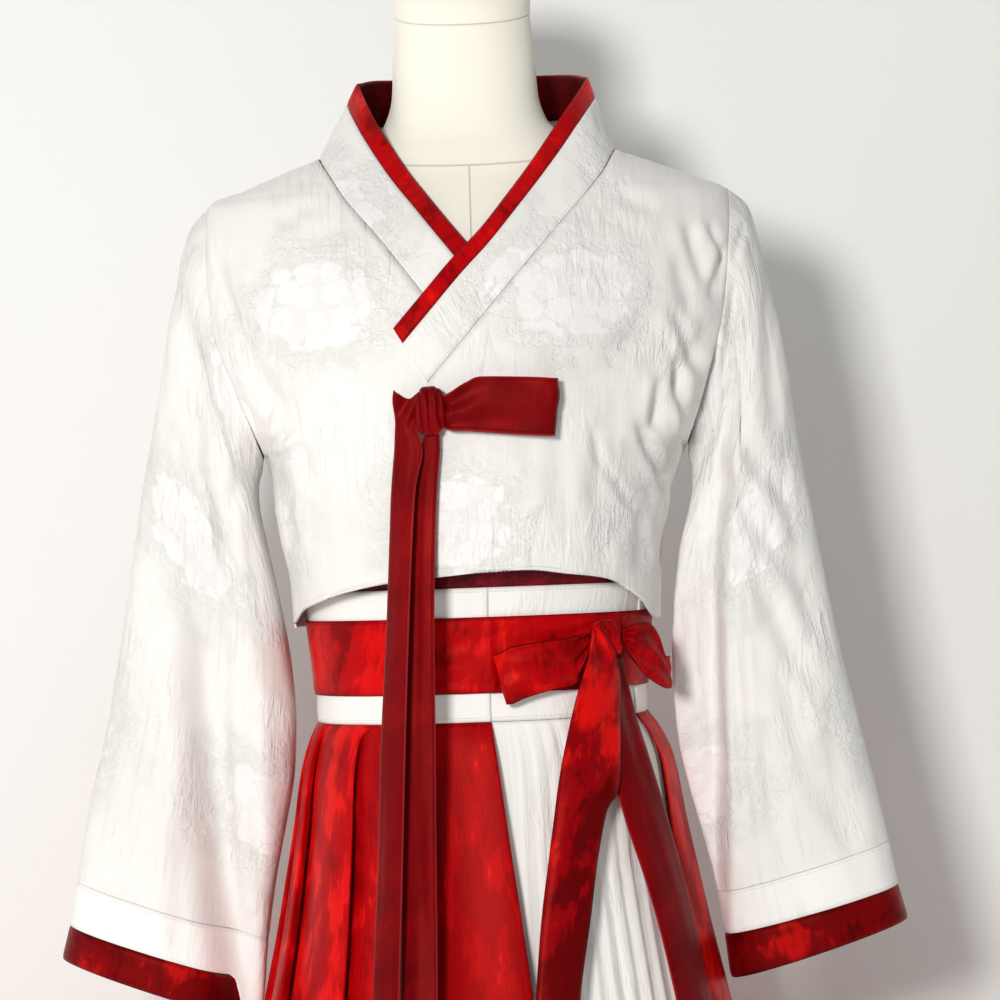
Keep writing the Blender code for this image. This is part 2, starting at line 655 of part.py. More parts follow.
# ------------------------------------------------------------------ ties and bow
def skirt_front(x, z, out):
    """Depth of a point at (x, z) that lies `out` in front of the skirt or belt."""
    if z > WAIST_LOW:
        fine = waist_ring(z, BELT_OUT + BELT_CLOTH, np.linspace(-1.45, 1.45, 400))
        return float(np.interp(x, fine[:, 0], fine[:, 1])) - out
    fine = skirt_xy(z, np.linspace(-1.4, 1.4, 400), np.zeros(400))
    return float(np.interp(x, fine[:, 0], fine[:, 1])) - out


# Hanging ends: height, left and right edge, and the depth of each edge.
CHEST_TAIL_FRONT = columns("z left right left_y right_y", [
    (84, -60.5, -45.2, -143, -147), (62, -60.5, -44.9, -143.5, -148), (47, -61, -42, -144, -150), (36, -62, -40, -144, -151), (10, -65, -46, -144, -153), (-30, -68, -50, -143, -155),
    (-100, -73, -55, -143, -156), (-180, -79, -60, -144, -157), (-300, -87, -67, -147, -160),
    (-420, -95, -74, -154, -167), (-530, -103, -81, -176, -188), (-620, -109, -87, -193, -204),
])
CHEST_TAIL_BACK = columns("z left right left_y right_y", [
    (47.6, -38.5, -26, -144, -146), (10, -56, -30, -139, -145), (-30, -60, -33, -138.5, -145),
    (-100, -62, -36, -138.5, -146), (-180, -65, -38, -139, -147), (-300, -69, -41, -142, -151),
    (-420, -73, -44, -157, -164), (-530, -77, -47, -181, -187), (-680, -82, -50, -213, -219),
])
# The belt's ends lie `out` in front of the belt and skirt.
BOW_TAIL_OVER = columns("z left right out", [
    (-103, 83.5, 88, 16.2), (-112, 81.5, 95, 17.2), (-124, 79.5, 101.5, 17.5), (-139, 75, 104, 14),
    (-158, 69, 104.5, 9.5), (-205, 56.5, 103, 8.5), (-228, 52, 99, 8.5), (-240, 50, 91, 8), (-276, 44, 82, 7),
    (-319, 37, 75, 6), (-383, 30, 64, 5), (-480, 20, 54, 5), (-600, 9, 43, 5),
])
BOW_TAIL_UNDER = columns("z left right out", [
    (-126.5, 92, 108.5, 1.7), (-144, 88, 111, 1.7), (-168, 88, 116, 3), (-208, 92, 127, 3), (-233, 100, 134, 3),
    (-256, 106, 140, 3), (-296, 118, 149.5, 3), (-336, 128, 157.5, 3), (-396, 140, 166.5, 3), (-480, 156, 184, 3),
    (-590, 176, 205, 3),
])


def hanging(name, tab, look, thick=SATIN):
    """A hanging end of ribbon, three points across."""
    rows = []
    for i, z in enumerate(tab["z"]):
        left, right = tab["left"][i], tab["right"][i]
        mid = (left + right) / 2
        if "out" in tab:
            out, round_up = tab["out"][i], 2.5 * min(1, (right - left) / 30)
            ly, my, ry = (skirt_front(x, z, o) for x, o in ((left, out), (mid, out + round_up), (right, out)))
        else:
            ly, ry = tab["left_y"][i], tab["right_y"][i]
            my = (ly + ry) / 2 - 1.5
        rows.append([(left, ly, z), (mid, my, z), (right, ry, z)])
    wall(name, np.array(rows, float), thick, look)


def loop_band(name, top, low, look, thick=SATIN):
    """A bow loop: a strip out along its front, round its far fold and back behind.
    top and low are its two edges, each a list of points (x, front y, back y, z) from the knot out."""
    top, low = np.array(top, float), np.array(low, float)
    count = len(top)
    path = []
    for i in range(count):
        path.append((top[i, [0, 1, 3]], low[i, [0, 1, 3]]))
    for i in range(count - 1, -1, -1):
        path.append((top[i, [0, 2, 3]], low[i, [0, 2, 3]]))
    # the far fold is rounded by one point between front and back
    tip_top, tip_low = top[-1], low[-1]
    reach = 3.2 * np.sign(top[-1, 0] - top[0, 0])
    fold = (np.array([tip_top[0] + reach, (tip_top[1] + tip_top[2]) / 2, tip_top[3]]),
            np.array([tip_low[0] + reach, (tip_low[1] + tip_low[2]) / 2, tip_low[3]]))
    path.insert(count, fold)
    grid = np.array([[a, a * 0.5 + b * 0.5, b] for a, b in path])
    wall(name, grid, thick, look)


def pillow(name, centre, size, look, square=0.7, turn=0.0, around=14, rings=8):
    """A soft knot: a rounded block with its poles up and down."""
    pts = []
    for i in range(rings + 1):
        v = -math.pi / 2 + math.pi * (i + 0.0) / rings
        v = np.clip(v, -math.pi / 2 * 0.9, math.pi / 2 * 0.9)
        cv, sv = math.cos(v) ** square, math.copysign(abs(math.sin(v)) ** square, v)
        for j in range(around):
            a = 2 * math.pi * j / around
            ca = math.copysign(abs(math.cos(a)) ** square, math.cos(a))
            sa = math.copysign(abs(math.sin(a)) ** square, math.sin(a))
            pts.append((size[0] * cv * ca, size[1] * cv * sa, size[2] * sv))
    pts = np.array(pts).reshape(rings + 1, around, 3)
    if turn:
        c, s = math.cos(turn), math.sin(turn)
        pts = np.stack([pts[..., 0] * c - pts[..., 1] * s, pts[..., 0] * s + pts[..., 1] * c, pts[..., 2]], -1)
    capped(name, pts + np.array(centre), look)


def chest_tie():
    pillow("tie_knot", (-33.4, -146.6, 66.4), (10.8, 8.6, 18.2), "red tie")
    front, back = -151.5, -140.2
    loop_band("tie_loop",
              [(-22.3, front + 3, back - 2, 77), (-8, front, back, 86.5), (6, front, back, 90.5),
               (43, front, back, 88.8), (61, front + 1, back - 1, 87.5)],
              [(-22.3, front + 3, back - 2, 52), (-8, front, back, 51.5), (4, front, back, 50),
               (30, front, back, 47.2), (56, front + 1, back - 1, 45)], "red tie")
    hanging("tie_tail_front", CHEST_TAIL_FRONT, "red tie")
    hanging("tie_tail_back", CHEST_TAIL_BACK, "red tie")


def belt_bow():
    knot = (95.0, skirt_front(95.0, -110, 0) - 8.0, -110.5)
    pillow("bow_knot", knot, (14.0, 6.6, 14.5), "red satin", turn=0.55)

    top, low = [], []
    for x, z, f, b in ((81.0, -105, 11, 5), (69, -108, 13, 3.2), (42, -111, 13, 1.6), (22, -114, 12, 1.6), (11, -119, 10, 2.6)):
        top.append((x, skirt_front(x, z, f), skirt_front(x, z, b), z))
    for x, z, f, b in ((81.0, -116, 11, 5), (70, -144, 13, 3), (48, -148.6, 13, 1.8), (30, -153.5, 12, 3), (20, -157.5, 11, 4)):
        zz = max(z, -148.5)
        top_y = skirt_front(x, zz, f)
        low.append((x, top_y, skirt_front(x, zz, b), z))
    loop_band("bow_loop_right", top, low, "red satin")
    # the other loop stands off to the wearer's left and droops
    loop_band("bow_loop_left",
              [(108.5, -88, -82, -104), (117.5, -87, -71, -101), (126, -82, -62, -99.5), (133, -73, -57, -103),
               (140.5, -66, -55, -113)],
              [(108.5, -88, -82, -116), (115, -88, -74, -127), (121, -85, -68, -136), (131, -78, -62, -146),
               (141.5, -68, -57, -152)], "red satin")
    hanging("bow_tail_right", BOW_TAIL_OVER, "red satin")
    hanging("bow_tail_left", BOW_TAIL_UNDER, "red satin")


# ------------------------------------------------------------------ dress form and stand
def form():
    ang = np.linspace(-math.pi, math.pi, ROUND_STEPS, endpoint=False)

    def ring(z, grow=0.0, lift=0.0):
        points = waist_ring(z, grow, ang)
        points[:, 2] += NECK_TILT * (points[:, 1] - 10) * float(ease((z - 335) / 55)) + lift
        return points

    levels = list(FORM["z"])
    capped("form_torso", np.array([ring(z) for z in levels]), "jersey")
    top = levels[-1]
    cap = [ring(top, 0, SEAM), ring(top, 0.5, 10), ring(top, -0.5, 20), ring(top, -7, 28), ring(top, -22, 33)]
    capped("form_neck_cap", np.array(cap), "jersey")


def stand():
    outline = [(0, BASE_THICK + 22), (26, BASE_THICK + 22), (34, BASE_THICK + 5), (BASE_RADIUS - 5, BASE_THICK),
               (BASE_RADIUS, BASE_THICK - 4), (BASE_RADIUS, 2), (BASE_RADIUS - 2, 0), (0, 0)]
    mesh = bpy.data.meshes.new("stand_base")
    mesh.from_pydata([(r * MM, 0, z * MM) for r, z in outline], [(i, i + 1) for i in range(len(outline) - 1)], [])
    mesh.materials.append(material("painted metal"))
    base = bpy.data.objects.new("stand_base", mesh)
    screw = base.modifiers.new("turn", "SCREW")
    screw.steps = screw.render_steps = 48
    screw.use_merge_vertices, screw.merge_threshold = True, 0.00001
    screw.use_smooth_shade = False
    PARTS.append(base)

    foot, top = BASE_THICK + 22 + SEAM, DATUM + FORM["z"][0] - SEAM
    bpy.ops.mesh.primitive_cylinder_add(vertices=24, radius=POLE_RADIUS * MM, depth=(top - foot) * MM,
                                        location=(0, 0, (top + foot) / 2 * MM))
    pole = bpy.context.object
    pole.name = pole.data.name = "stand_pole"
    pole.data.materials.append(material("painted metal"))
    pole.data.shade_smooth()
    pole.data.set_sharp_from_angle(angle=math.radians(40))
    for home in list(pole.users_collection):
        home.objects.unlink(pole)
    PARTS.append(pole)


# ------------------------------------------------------------------ build
def clear_scene():
    for obj in list(bpy.data.objects):
        bpy.data.objects.remove(obj, do_unlink=True)


def main():
    clear_scene()
    form()
    stand()
    body_half(+1, "jacket_body_left")
    body_half(-1, "jacket_body_right")
    sleeve(+1, "left")
    sleeve(-1, "right")
    collar()
    chest_tie()
    band("bodice", BODICE_TOP, BODICE_LOW, 0.4, 1.0, "burgundy")
    band("underskirt_waistband", WAIST_TOP, WAIST_LOW, 1.8, SATIN, "white band")
    band("overskirt_waistband", WAIST_TOP, WAIST_LOW, 3.4, SATIN, "white band", wrap_ends(WAIST_LOW))
    band("belt", BELT_TOP, BELT_LOW, BELT_OUT, BELT_CLOTH, "red satin")
    underskirt()
    overskirt()
    belt_bow()
    group = bpy.data.collections.new("korean_hanbok_on_dress_form")
    bpy.context.scene.collection.children.link(group)
    root = bpy.data.objects.new("hanbok_on_form", None)
    group.objects.link(root)
    for obj in PARTS:
        group.objects.link(obj)
        obj.parent = root


main()
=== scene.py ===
"""The looks of the Korean hanbok on its dress form.

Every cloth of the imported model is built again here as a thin, finely divided shell on the same
surfaces, with its folds, creases, hems and stitching. The surfaces and their tables are those of the
part's source: millimetres from DATUM, the front faces -Y, side = +1 is the wearer's left.
"""

import math

import bpy
import numpy as np
from mathutils import Matrix, Vector


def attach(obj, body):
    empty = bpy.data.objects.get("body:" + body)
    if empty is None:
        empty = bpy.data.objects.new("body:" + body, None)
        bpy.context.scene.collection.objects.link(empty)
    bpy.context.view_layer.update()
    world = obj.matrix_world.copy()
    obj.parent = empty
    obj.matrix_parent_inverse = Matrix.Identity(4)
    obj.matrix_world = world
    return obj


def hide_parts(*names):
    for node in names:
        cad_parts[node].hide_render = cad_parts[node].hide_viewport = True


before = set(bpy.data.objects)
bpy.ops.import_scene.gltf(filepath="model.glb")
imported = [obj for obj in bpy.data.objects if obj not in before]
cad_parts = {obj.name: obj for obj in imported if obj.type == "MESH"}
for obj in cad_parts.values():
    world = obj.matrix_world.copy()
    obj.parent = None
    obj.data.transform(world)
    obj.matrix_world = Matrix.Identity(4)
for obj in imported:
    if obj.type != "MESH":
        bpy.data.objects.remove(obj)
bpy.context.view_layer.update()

# ------------------------------------------------------------------ sizes of the part
MM, DATUM = 0.001, 1182.0
SEAM, LAP, ROUND = 0.35, 2.6, 2.4
CLOTH, SATIN = 1.0, 0.9            # walls of the shells, inside those of the solids
BELT_OUT, BELT_CLOTH = 5.2, 1.5
SHOULDER_TIP, ARMPIT, ARMHOLE_DEPTH = 243.0, 40.0, 52.0
WAIST_TOP, WAIST_LOW = -68.0, -171.0
BELT_TOP, BELT_LOW = -90.5, -149.0
BODICE_TOP, BODICE_LOW = 40.0, -95.0
HEM = -1092.0
FRONT_EDGE = {+1: -35.0, -1: 45.0}
OVER_PLEATS, UNDER_PLEATS = 12, 60
POLE_RADIUS, BASE_RADIUS, BASE_THICK = 16.0, 210.0, 14.0
NECK_TILT = 0.36
BAND_AT, TRIM_AT = 0.90, 0.95
TRIM_SHARE = 0.72                  # where the collar's red edge begins, of its width


def table(text, wide):
    """Rows of `wide` numbers; semicolons part the rows."""
    return np.array(text.replace(";", " ").split(), float).reshape(-1, wide)


def columns(names, text):
    """A table's columns by name."""
    return dict(zip(names.split(), table(text, len(names.split())).T))


TORSO = columns("z left right front back edge", """
    -100 -150 140.5 133 113 0.45; -60 -152 142.5 134 114 0.45; -30 -157 146 135 116 0.45;
    0 -160 152 135.5 118 0.46; 40 -169 167 136 121 0.55; 85 -185 181 134 123 0.72; 140 -203 196 125 122 0.82;
    195 -207 203 107 113 0.72; 225 -207 205.5 90 101 0.58; 243 -206 206 78 92 0.5; 253.05 -180 180 72 88 0.5;
    264.65 -150 150 66 86.5 0.5; 277 -118 118 61 87 0.5; 292 -99 100 59 88 0.5; 300 -91 97 58 87.5 0.5;
    317 -88 97 50 86 0.5; 337 -86 99 30 84 0.5; 352 -84 97 28 83 0.5""")

# The jacket's front hem rises over the belt and dips at the sides.
HEMLINE = columns("x z", """
    -160 -97; -149 -92; -142 -83; -125 -74; -105 -66.5; -75 -61; -30 -58.5; 0 -56; 40 -52.5; 65 -55.5; 88 -58;
    102 -62; 112 -71; 124 -83; 133 -96; 150 -99""")

# The collar from its front end (t = 0) up to the side of the neck (t = 1) and on to the middle
# of the back (t = 2): the seam on the body and the free edge, as seen from the front.
COLLAR = {
    +1: columns("t seam_x seam_z free_x free_z", """
    0 -35 89 -60 131.7; 0.1 -12 115.5 -37 158; 0.2 11 142 -14 184.5; 0.3 34 168.5 9 208.5;
    0.4 57 195 29.5 234.8; 0.5 78 219.2 49 261; 0.6 96 240 64 283; 0.7 107 254.5 76 301; 0.8 114 267 87 317;
    0.9 117.5 274.5 95 329; 1 118 277 99 336; 1.2 113 279.5 95 341; 1.4 96 286 82 346; 1.6 63 290.5 54 349.5;
    1.8 30 292 26 351; 2 0 292 0 351.5"""),
    -1: columns("t seam_x seam_z free_x free_z", """
    0 10 95 51 125; 0.1 -14 127 27 157; 0.2 -37.5 159.2 3.8 190; 0.3 -54.7 183 -17 217.7;
    0.4 -71.9 206.6 -32 238.5; 0.5 -85.5 223.5 -45 257; 0.6 -97.7 239.5 -57 277; 0.7 -107 255 -68.4 297;
    0.8 -114 267 -76.5 314; 0.9 -117.5 274.5 -82.5 328; 1 -118 277 -85.5 337.5; 1.2 -113 279.5 -82 342;
    1.4 -96 286 -72 346.5; 1.6 -63 290.5 -48 349.5; 1.8 -30 292 -23 351; 2 0 292 0 351.5"""),
}

# Sections of the sleeves: outer and inner point of each ring and its half depth.
SLEEVE = {
    +1: columns("s out_x out_z in_x in_z depth", """
    0 206 243 169.6 40 52; 0.035 222 229 171.5 31 51; 0.075 229 207 173 20 50; 0.13 236 176 172 4 48;
    0.2 243.5 138 167 -18 46; 0.28 249.5 93 160 -44 45; 0.37 256 38 154.5 -78 44; 0.46 264 -15 151 -116 44;
    0.55 273 -70 150.5 -155 44; 0.64 283 -125 153 -196 44; 0.73 296 -185 161 -237 43;
    0.82 308 -240 172 -280 42; 0.9 316.5 -281 180 -318 42; 0.95 323 -316 184.5 -351 42; 1 330 -343 188 -386 42"""),
    -1: columns("s out_x out_z in_x in_z depth", """
    0 206 243 171.6 40 52; 0.035 222 226 175 29 51; 0.075 230.5 203 177.5 17 50; 0.13 237 171 176.5 0 48;
    0.2 245 132 172 -24 46; 0.28 253 88 166.5 -52 45; 0.37 263 38 160 -88 44; 0.46 272 -10 155 -126 44;
    0.55 281 -62 153 -165 44; 0.64 291 -115 155 -207 44; 0.73 303 -173 163 -250 43;
    0.82 318 -232 172.5 -294 43; 0.9 330 -291 180.5 -342 43; 0.95 337 -326 185 -377 43; 1 344 -352 190 -407 43"""),
}

# The largest fold down the front of each sleeve: where it runs, how deep and how wide.
SLEEVE_FOLD = {
    +1: columns("z x deep wide", """
    -400 180 0.2 12; -300 184.5 0.8 12; -200 186 0.85 12; -100 189 0.85 12; 0 196.5 0.75 12; 60 201 0.4 13;
    120 204 0 14"""),
    -1: columns("z x deep wide", """
    -400 197 0.6 18; -350 202 0.6 18; -300 208 0.62 19; -200 214 0.62 20; -130 220 0.5 20; -60 229 0.3 20;
    0 234 0 20"""),
}

# Level sections of the dress form.
FORM = columns("z half shift front back edge", """
    -380 118 -3 87 92 0.43; -370 127 -3 93 97 0.43; -330 134 -3 98 102 0.43; -270 135 -3 97 98 0.43;
    -220 131 -3 96.5 92 0.43; -171 127 -3 98.5 89 0.43; -149 127 -3 98.5 88 0.43; -90.5 132 -3 100 90 0.43;
    -68 133.5 -2.5 101.5 92.5 0.43; 0 141 0 113 103 0.43; 40 150 0 124 110 0.43; 85 161 0 129 116 0.43;
    140 175 0 120 116.5 0.44; 195 187 0 102 107 0.46; 225 190 0 84 95 0.48; 243 186 0 72 87 0.5;
    253.7 174.4 0 65 80 0.5; 263.7 148.2 0 60 75.5 0.5; 275.7 114 0 55 74 0.5; 288 82 0 50 72 0.48;
    303 65 0 47 70 0.45; 325 58.5 0 45 66 0.44; 350 57 0 44.5 64.5 0.44; 394 54 0 44 63.5 0.44""")

# Outside of the overskirt at its fold edges, the depth of its pleats, how far each fold turns
# back under the next one, and where its end at the wearer's left hangs, in degrees from the
# front. The underskirt keeps inside by `inset`, with folds `fine` deep.
SKIRT = columns("z half shift front back square deep under end inset fine", """
    -1092 332 0 290 285 2 26 15 66 33 13; -700 252 0 211 206 2 18 11 66 23 9;
    -400 187 0 149 147 2.05 12 8 67 17 6; -334 172.5 0 138 136 2.08 10.5 7 70 15 5.2;
    -290 164 0 130 129 2.1 9.5 6.5 72 14 4.6; -255 157.5 0 123.5 122 2.15 8.5 6 73.5 12.5 4;
    -210 150 0 114.5 112 2.2 7 5 74.5 10.5 3.4; -186 141 -1.5 109 104 2.3 4.5 2 71 6.6 2;
    -171.4 132 -3 103.5 94 2.4 0.8 -9 67 2.3 0.6""")
# Where along the overskirt, in metres of hem from its free edge, its painted sheen begins and is most: bright patches
# added there are painted light on the pleats.
PAINTED_SHEEN_SPAN = (0.24, 0.44)
# The jacquard's repeat and the half sizes of its spray of flowers, in metres.
REPEAT, SPRAY = (0.2, 0.17), (0.046, 0.036)
FACING_FROM = 0.74                 # station of the collar at which its facing starts


# ------------------------------------------------------------------ curves and surfaces
def smooth_curve(x, y, at):
    """A smooth curve through the rows (x, y) that never swings past them."""
    x, y = np.asarray(x, float), np.asarray(y, float)
    at = np.clip(np.asarray(at, float), x[0], x[-1])
    h = np.diff(x)
    d = np.diff(y) / h
    m = np.empty_like(y)
    a, b = d[:-1], d[1:]
    wa, wb = h[1:] + 2 * h[:-1], 2 * h[1:] + h[:-1]
    same = a * b > 0
    m[1:-1] = np.where(same, (wa + wb) / (wa / np.where(same, b, 1) + wb / np.where(same, a, 1)), 0)
    m[0], m[-1] = d[0], d[-1]
    i = np.clip(np.searchsorted(x, at, side="right") - 1, 0, len(h) - 1)
    t = (at - x[i]) / h[i]
    return ((1 + 2 * t) * (1 - t) ** 2 * y[i] + t * (1 - t) ** 2 * h[i] * m[i]
            + t * t * (3 - 2 * t) * y[i + 1] + t * t * (t - 1) * h[i] * m[i + 1])


def row_of(table, key, at):
    """A table's column at a value of its first one."""
    return smooth_curve(table[next(iter(table))], table[key], at)


def rows_of(table, keys, at):
    return [row_of(table, key, at) for key in keys.split()]


def lengths(path):
    """Length along a path of points, from its first."""
    return np.concatenate([[0], np.cumsum(np.linalg.norm(np.diff(path, axis=0), axis=1))])


def ease(t):
    t = np.clip(t, 0, 1)
    return t * t * (3 - 2 * t)


def unit(v):
    return v / np.maximum(np.linalg.norm(v, axis=-1, keepdims=True), 1e-9)


def armhole_depth(z):
    c = np.clip((2 * z - SHOULDER_TIP - ARMPIT) / (SHOULDER_TIP - ARMPIT), -1, 1)
    return ARMHOLE_DEPTH * np.sqrt(1 - c * c)


def torso_y(x, z, facing):
    """Depth of the jacket at (x, z); facing = -1 is the front, +1 the back."""
    x, z = np.broadcast_arrays(np.asarray(x, float), np.asarray(z, float))
    width = np.where(x < 0, -row_of(TORSO, "left", z), row_of(TORSO, "right", z))
    depth = row_of(TORSO, "front" if facing < 0 else "back", z)
    u = np.clip(np.abs(x) / width, 0, 1)
    side = armhole_depth(z)
    return facing * (side + (depth - side) * (1 - u ** ROUND) ** row_of(TORSO, "edge", z))


def torso_width(side, z):
    return row_of(TORSO, "right" if side > 0 else "left", z)


def lap(x):
    """How far the lapping front stands off, over the part it covers."""
    return LAP * (1 - ease((np.asarray(x, float) - 72) / 35))


def collar_point(side, t, f):
    """Collar at station t, f of the way from its seam (0) to its free edge (1)."""
    tab = COLLAR[side]
    t = np.asarray(t, float)
    sx, sz, fx, fz = rows_of(tab, "seam_x seam_z free_x free_z", t)
    facing = np.where(t <= 1, -1, 1)
    x, z = sx + (fx - sx) * f, sz + (fz - sz) * f
    depth = [np.where(facing < 0, torso_y(a, b, -1), torso_y(a, b, 1)) for a, b in ((sx, sz), (fx, fz), (x, z))]
    lie = 1 - ease((t - 0.45) / 0.3)
    y = lie * depth[2] + (1 - lie) * (depth[0] * (1 - f) + depth[1] * f)
    if side > 0:
        y = y - np.where(t <= 1, lap(x), 0)
    return np.stack([x, y, z + 0 * x], -1)


def armhole_z(angle):
    return (SHOULDER_TIP + ARMPIT) / 2 + (SHOULDER_TIP - ARMPIT) / 2 * np.cos(angle)


def armhole_normal(side, angle, facing):
    """Shared lie of the cloth at the armhole seam, from shoulder tip (0) to armpit (pi)."""
    n = np.stack([side * (0.28 + 0 * angle), facing * np.sin(angle), np.cos(angle)], -1)
    return unit(n)


def sleeve_point(side, s, angle):
    """A sleeve ring: angle 0 is its outer edge, the front comes first, pi is the inner edge."""
    tab = SLEEVE[side]
    ox, oz, ix, iz, depth = rows_of(tab, "out_x out_z in_x in_z depth", s)
    c, sn = np.cos(angle), np.sin(angle)
    x = (ox + ix) / 2 + (ox - ix) / 2 * c
    z = (oz + iz) / 2 + (oz - iz) / 2 * c
    # near the armhole the seam bows outwards
    seam_x = torso_width(side, armhole_z(np.arccos(c))) * side
    chord = (tab["out_x"][0] + tab["in_x"][0]) / 2 + (tab["out_x"][0] - tab["in_x"][0]) / 2 * c
    x = x + np.clip(1 - np.asarray(s, float) / 0.2, 0, 1) ** 1.5 * (seam_x - chord)
    blunt = 1 - 0.28 * ease(np.asarray(s, float) / 0.25)
    y = -depth * np.sign(sn) * np.abs(sn) ** blunt
    fold = SLEEVE_FOLD[side]
    fx, deep, wide = rows_of(fold, "x deep wide", z)
    if side > 0:
        cut = deep * ease((fx - x) / wide + 0.5)
    else:
        cut = deep * np.exp(-(((x - fx) / wide) ** 2))
    y = np.where(sn > 0, y * (1 - cut), y)
    return np.stack([side * x, y, z], -1)


def level_ring(half, front, back, square, edge, angle):
    """A level section; angle 0 is the front, positive turns to the wearer's left."""
    sx = np.sin(angle)
    g = (1 - np.abs(sx) ** square) ** edge
    return np.stack([half * sx, np.where(np.cos(angle) > 0, -front, back) * g], -1)


def waist_ring(z, out, angle, curved=False):
    """A level section round the form, `out` away from it; straight or curved between the table's rows."""
    half, shift, front, back, edge = (row_of(FORM, k, z) if curved else np.interp(z, FORM["z"], FORM[k])
                                      for k in ("half", "shift", "front", "back", "edge"))
    xy = level_ring(half + out, front + out, back + out, ROUND, edge, angle)
    return np.stack([xy[..., 0] + shift, xy[..., 1], z + 0 * xy[..., 0]], -1)


def even_angles(count, first, last, z=WAIST_LOW):
    """Angles that divide the waist evenly by length between two angles, in radians."""
    fine = np.linspace(first, last, 2001)
    ring = waist_ring(z, 4, fine)
    run = lengths(ring)
    return np.interp(np.linspace(0, run[-1], count + 1), run, fine)


def skirt_xy(z, angle, inward):
    """Skirt section at height z: `inward` from the outside of the overskirt's folds."""
    half, shift, front, back, square = rows_of(SKIRT, "half shift front back square", z)
    edge = 0.5 - 0.07 * ease((z + 400) / 229)
    xy = level_ring(half, front, back, square, edge, angle)
    flat = unit(xy / np.stack([half ** 2 + 0 * xy[..., 0], ((front + back) / 2) ** 2 + 0 * xy[..., 0]], -1))
    return xy - flat * np.asarray(inward)[..., None] + (shift, 0)


def wrap_angle(z):
    """Front edge of the overskirt: it hangs nearly straight while the skirt widens."""
    x = 4.3 + 0.119 * (WAIST_LOW - z)
    return math.asin(min((x - row_of(SKIRT, "shift", z)) / float(row_of(SKIRT, "half", z)), 0.9))


def wrap_ends(z):
    """Angles of the overskirt's two ends, from its front edge back round to the wearer's left."""
    return wrap_angle(z), math.radians(float(row_of(SKIRT, "end", z)) - 360)


def skirt_front(x, z, out):
    """Depth of a point at (x, z) that lies `out` in front of the skirt or belt."""
    if z > WAIST_LOW:
        fine = waist_ring(z, BELT_OUT + BELT_CLOTH, np.linspace(-1.45, 1.45, 400))
    else:
        fine = skirt_xy(z, np.linspace(-1.4, 1.4, 400), np.zeros(400))
    return float(np.interp(x, fine[:, 0], fine[:, 1])) - out


# Hanging ends: height, left and right edge, and the depth of each edge.
CHEST_TAIL_FRONT = columns("z left right left_y right_y", """
    84 -60.5 -45.2 -143 -147; 62 -60.5 -44.9 -143.5 -148; 47 -61 -42 -144 -150; 36 -62 -40 -144 -151;
    10 -65 -46 -144 -153; -30 -68 -50 -143 -155; -100 -73 -55 -143 -156; -180 -79 -60 -144 -157;
    -300 -87 -67 -147 -160; -420 -95 -74 -154 -167; -530 -103 -81 -176 -188; -620 -109 -87 -193 -204""")
CHEST_TAIL_BACK = columns("z left right left_y right_y", """
    52 -38 -27 -145 -147; 40 -42 -27 -144 -146; 10 -56 -30 -139 -145; -30 -60 -33 -138.5 -145;
    -100 -62 -36 -138.5 -146; -180 -65 -38 -139 -147; -300 -69 -41 -142 -151; -420 -73 -44 -157 -164;
    -530 -77 -47 -181 -187; -680 -82 -50 -213 -219""")
# The belt's ends lie `out` in front of the belt and skirt.
BOW_TAIL_OVER = columns("z left right out", """
    -103 83.5 88 16.2; -112 81.5 95 17.2; -124 79.5 101.5 17.5; -139 75 104 14; -158 69 104.5 9.5;
    -205 56.5 103 8.5; -228 52 99 8.5; -240 50 91 8; -276 44 82 7; -319 37 75 6; -383 30 64 5; -480 20 54 5;
    -600 9 43 5""")
BOW_TAIL_UNDER = columns("z left right out", """
    -126.5 92 108.5 1.7; -144 88 111 1.7; -168 88 116 3; -208 92 127 3; -233 100 134 3; -256 106 140 3;
    -296 118 149.5 3; -336 128 157.5 3; -396 140 166.5 3; -480 156 184 3; -590 176 205 3""")


# ------------------------------------------------------------------ materials
class Value:
    """What a node of a material puts out; Python's operators add further Math nodes to it."""

    def __init__(self, socket):
        self.socket = socket

    def math(self, operation, *rest):
        return add_node(self.socket.id_data, "Math", self, *rest, operation=operation)

    def smooth(self, low, high, to_low=0.0, to_high=1.0):
        return add_node(self.socket.id_data, "MapRange", self, low, high, to_low, to_high,
                        interpolation_type="SMOOTHSTEP")


for method, operation in dict(__add__="ADD", __sub__="SUBTRACT", __mul__="MULTIPLY", __truediv__="DIVIDE",
                              __abs__="ABSOLUTE", sine="SINE", most="MAXIMUM", times_plus="MULTIPLY_ADD").items():
    setattr(Value, method, lambda self, *rest, done=operation: self.math(done, *rest))


def add_node(tree, kind, *values, out=0, **settings):
    """A node with its settings and its inputs, in order; `out` picks from its outputs."""
    made = tree.nodes.new("ShaderNode" + kind)
    for key, value in settings.items():
        setattr(made, key, value)
    for socket, value in zip(made.inputs, values):
        if isinstance(value, Value):
            tree.links.new(value.socket, socket)
        elif value is not None:
            socket.default_value = value
    return [Value(socket) for socket in made.outputs][out]


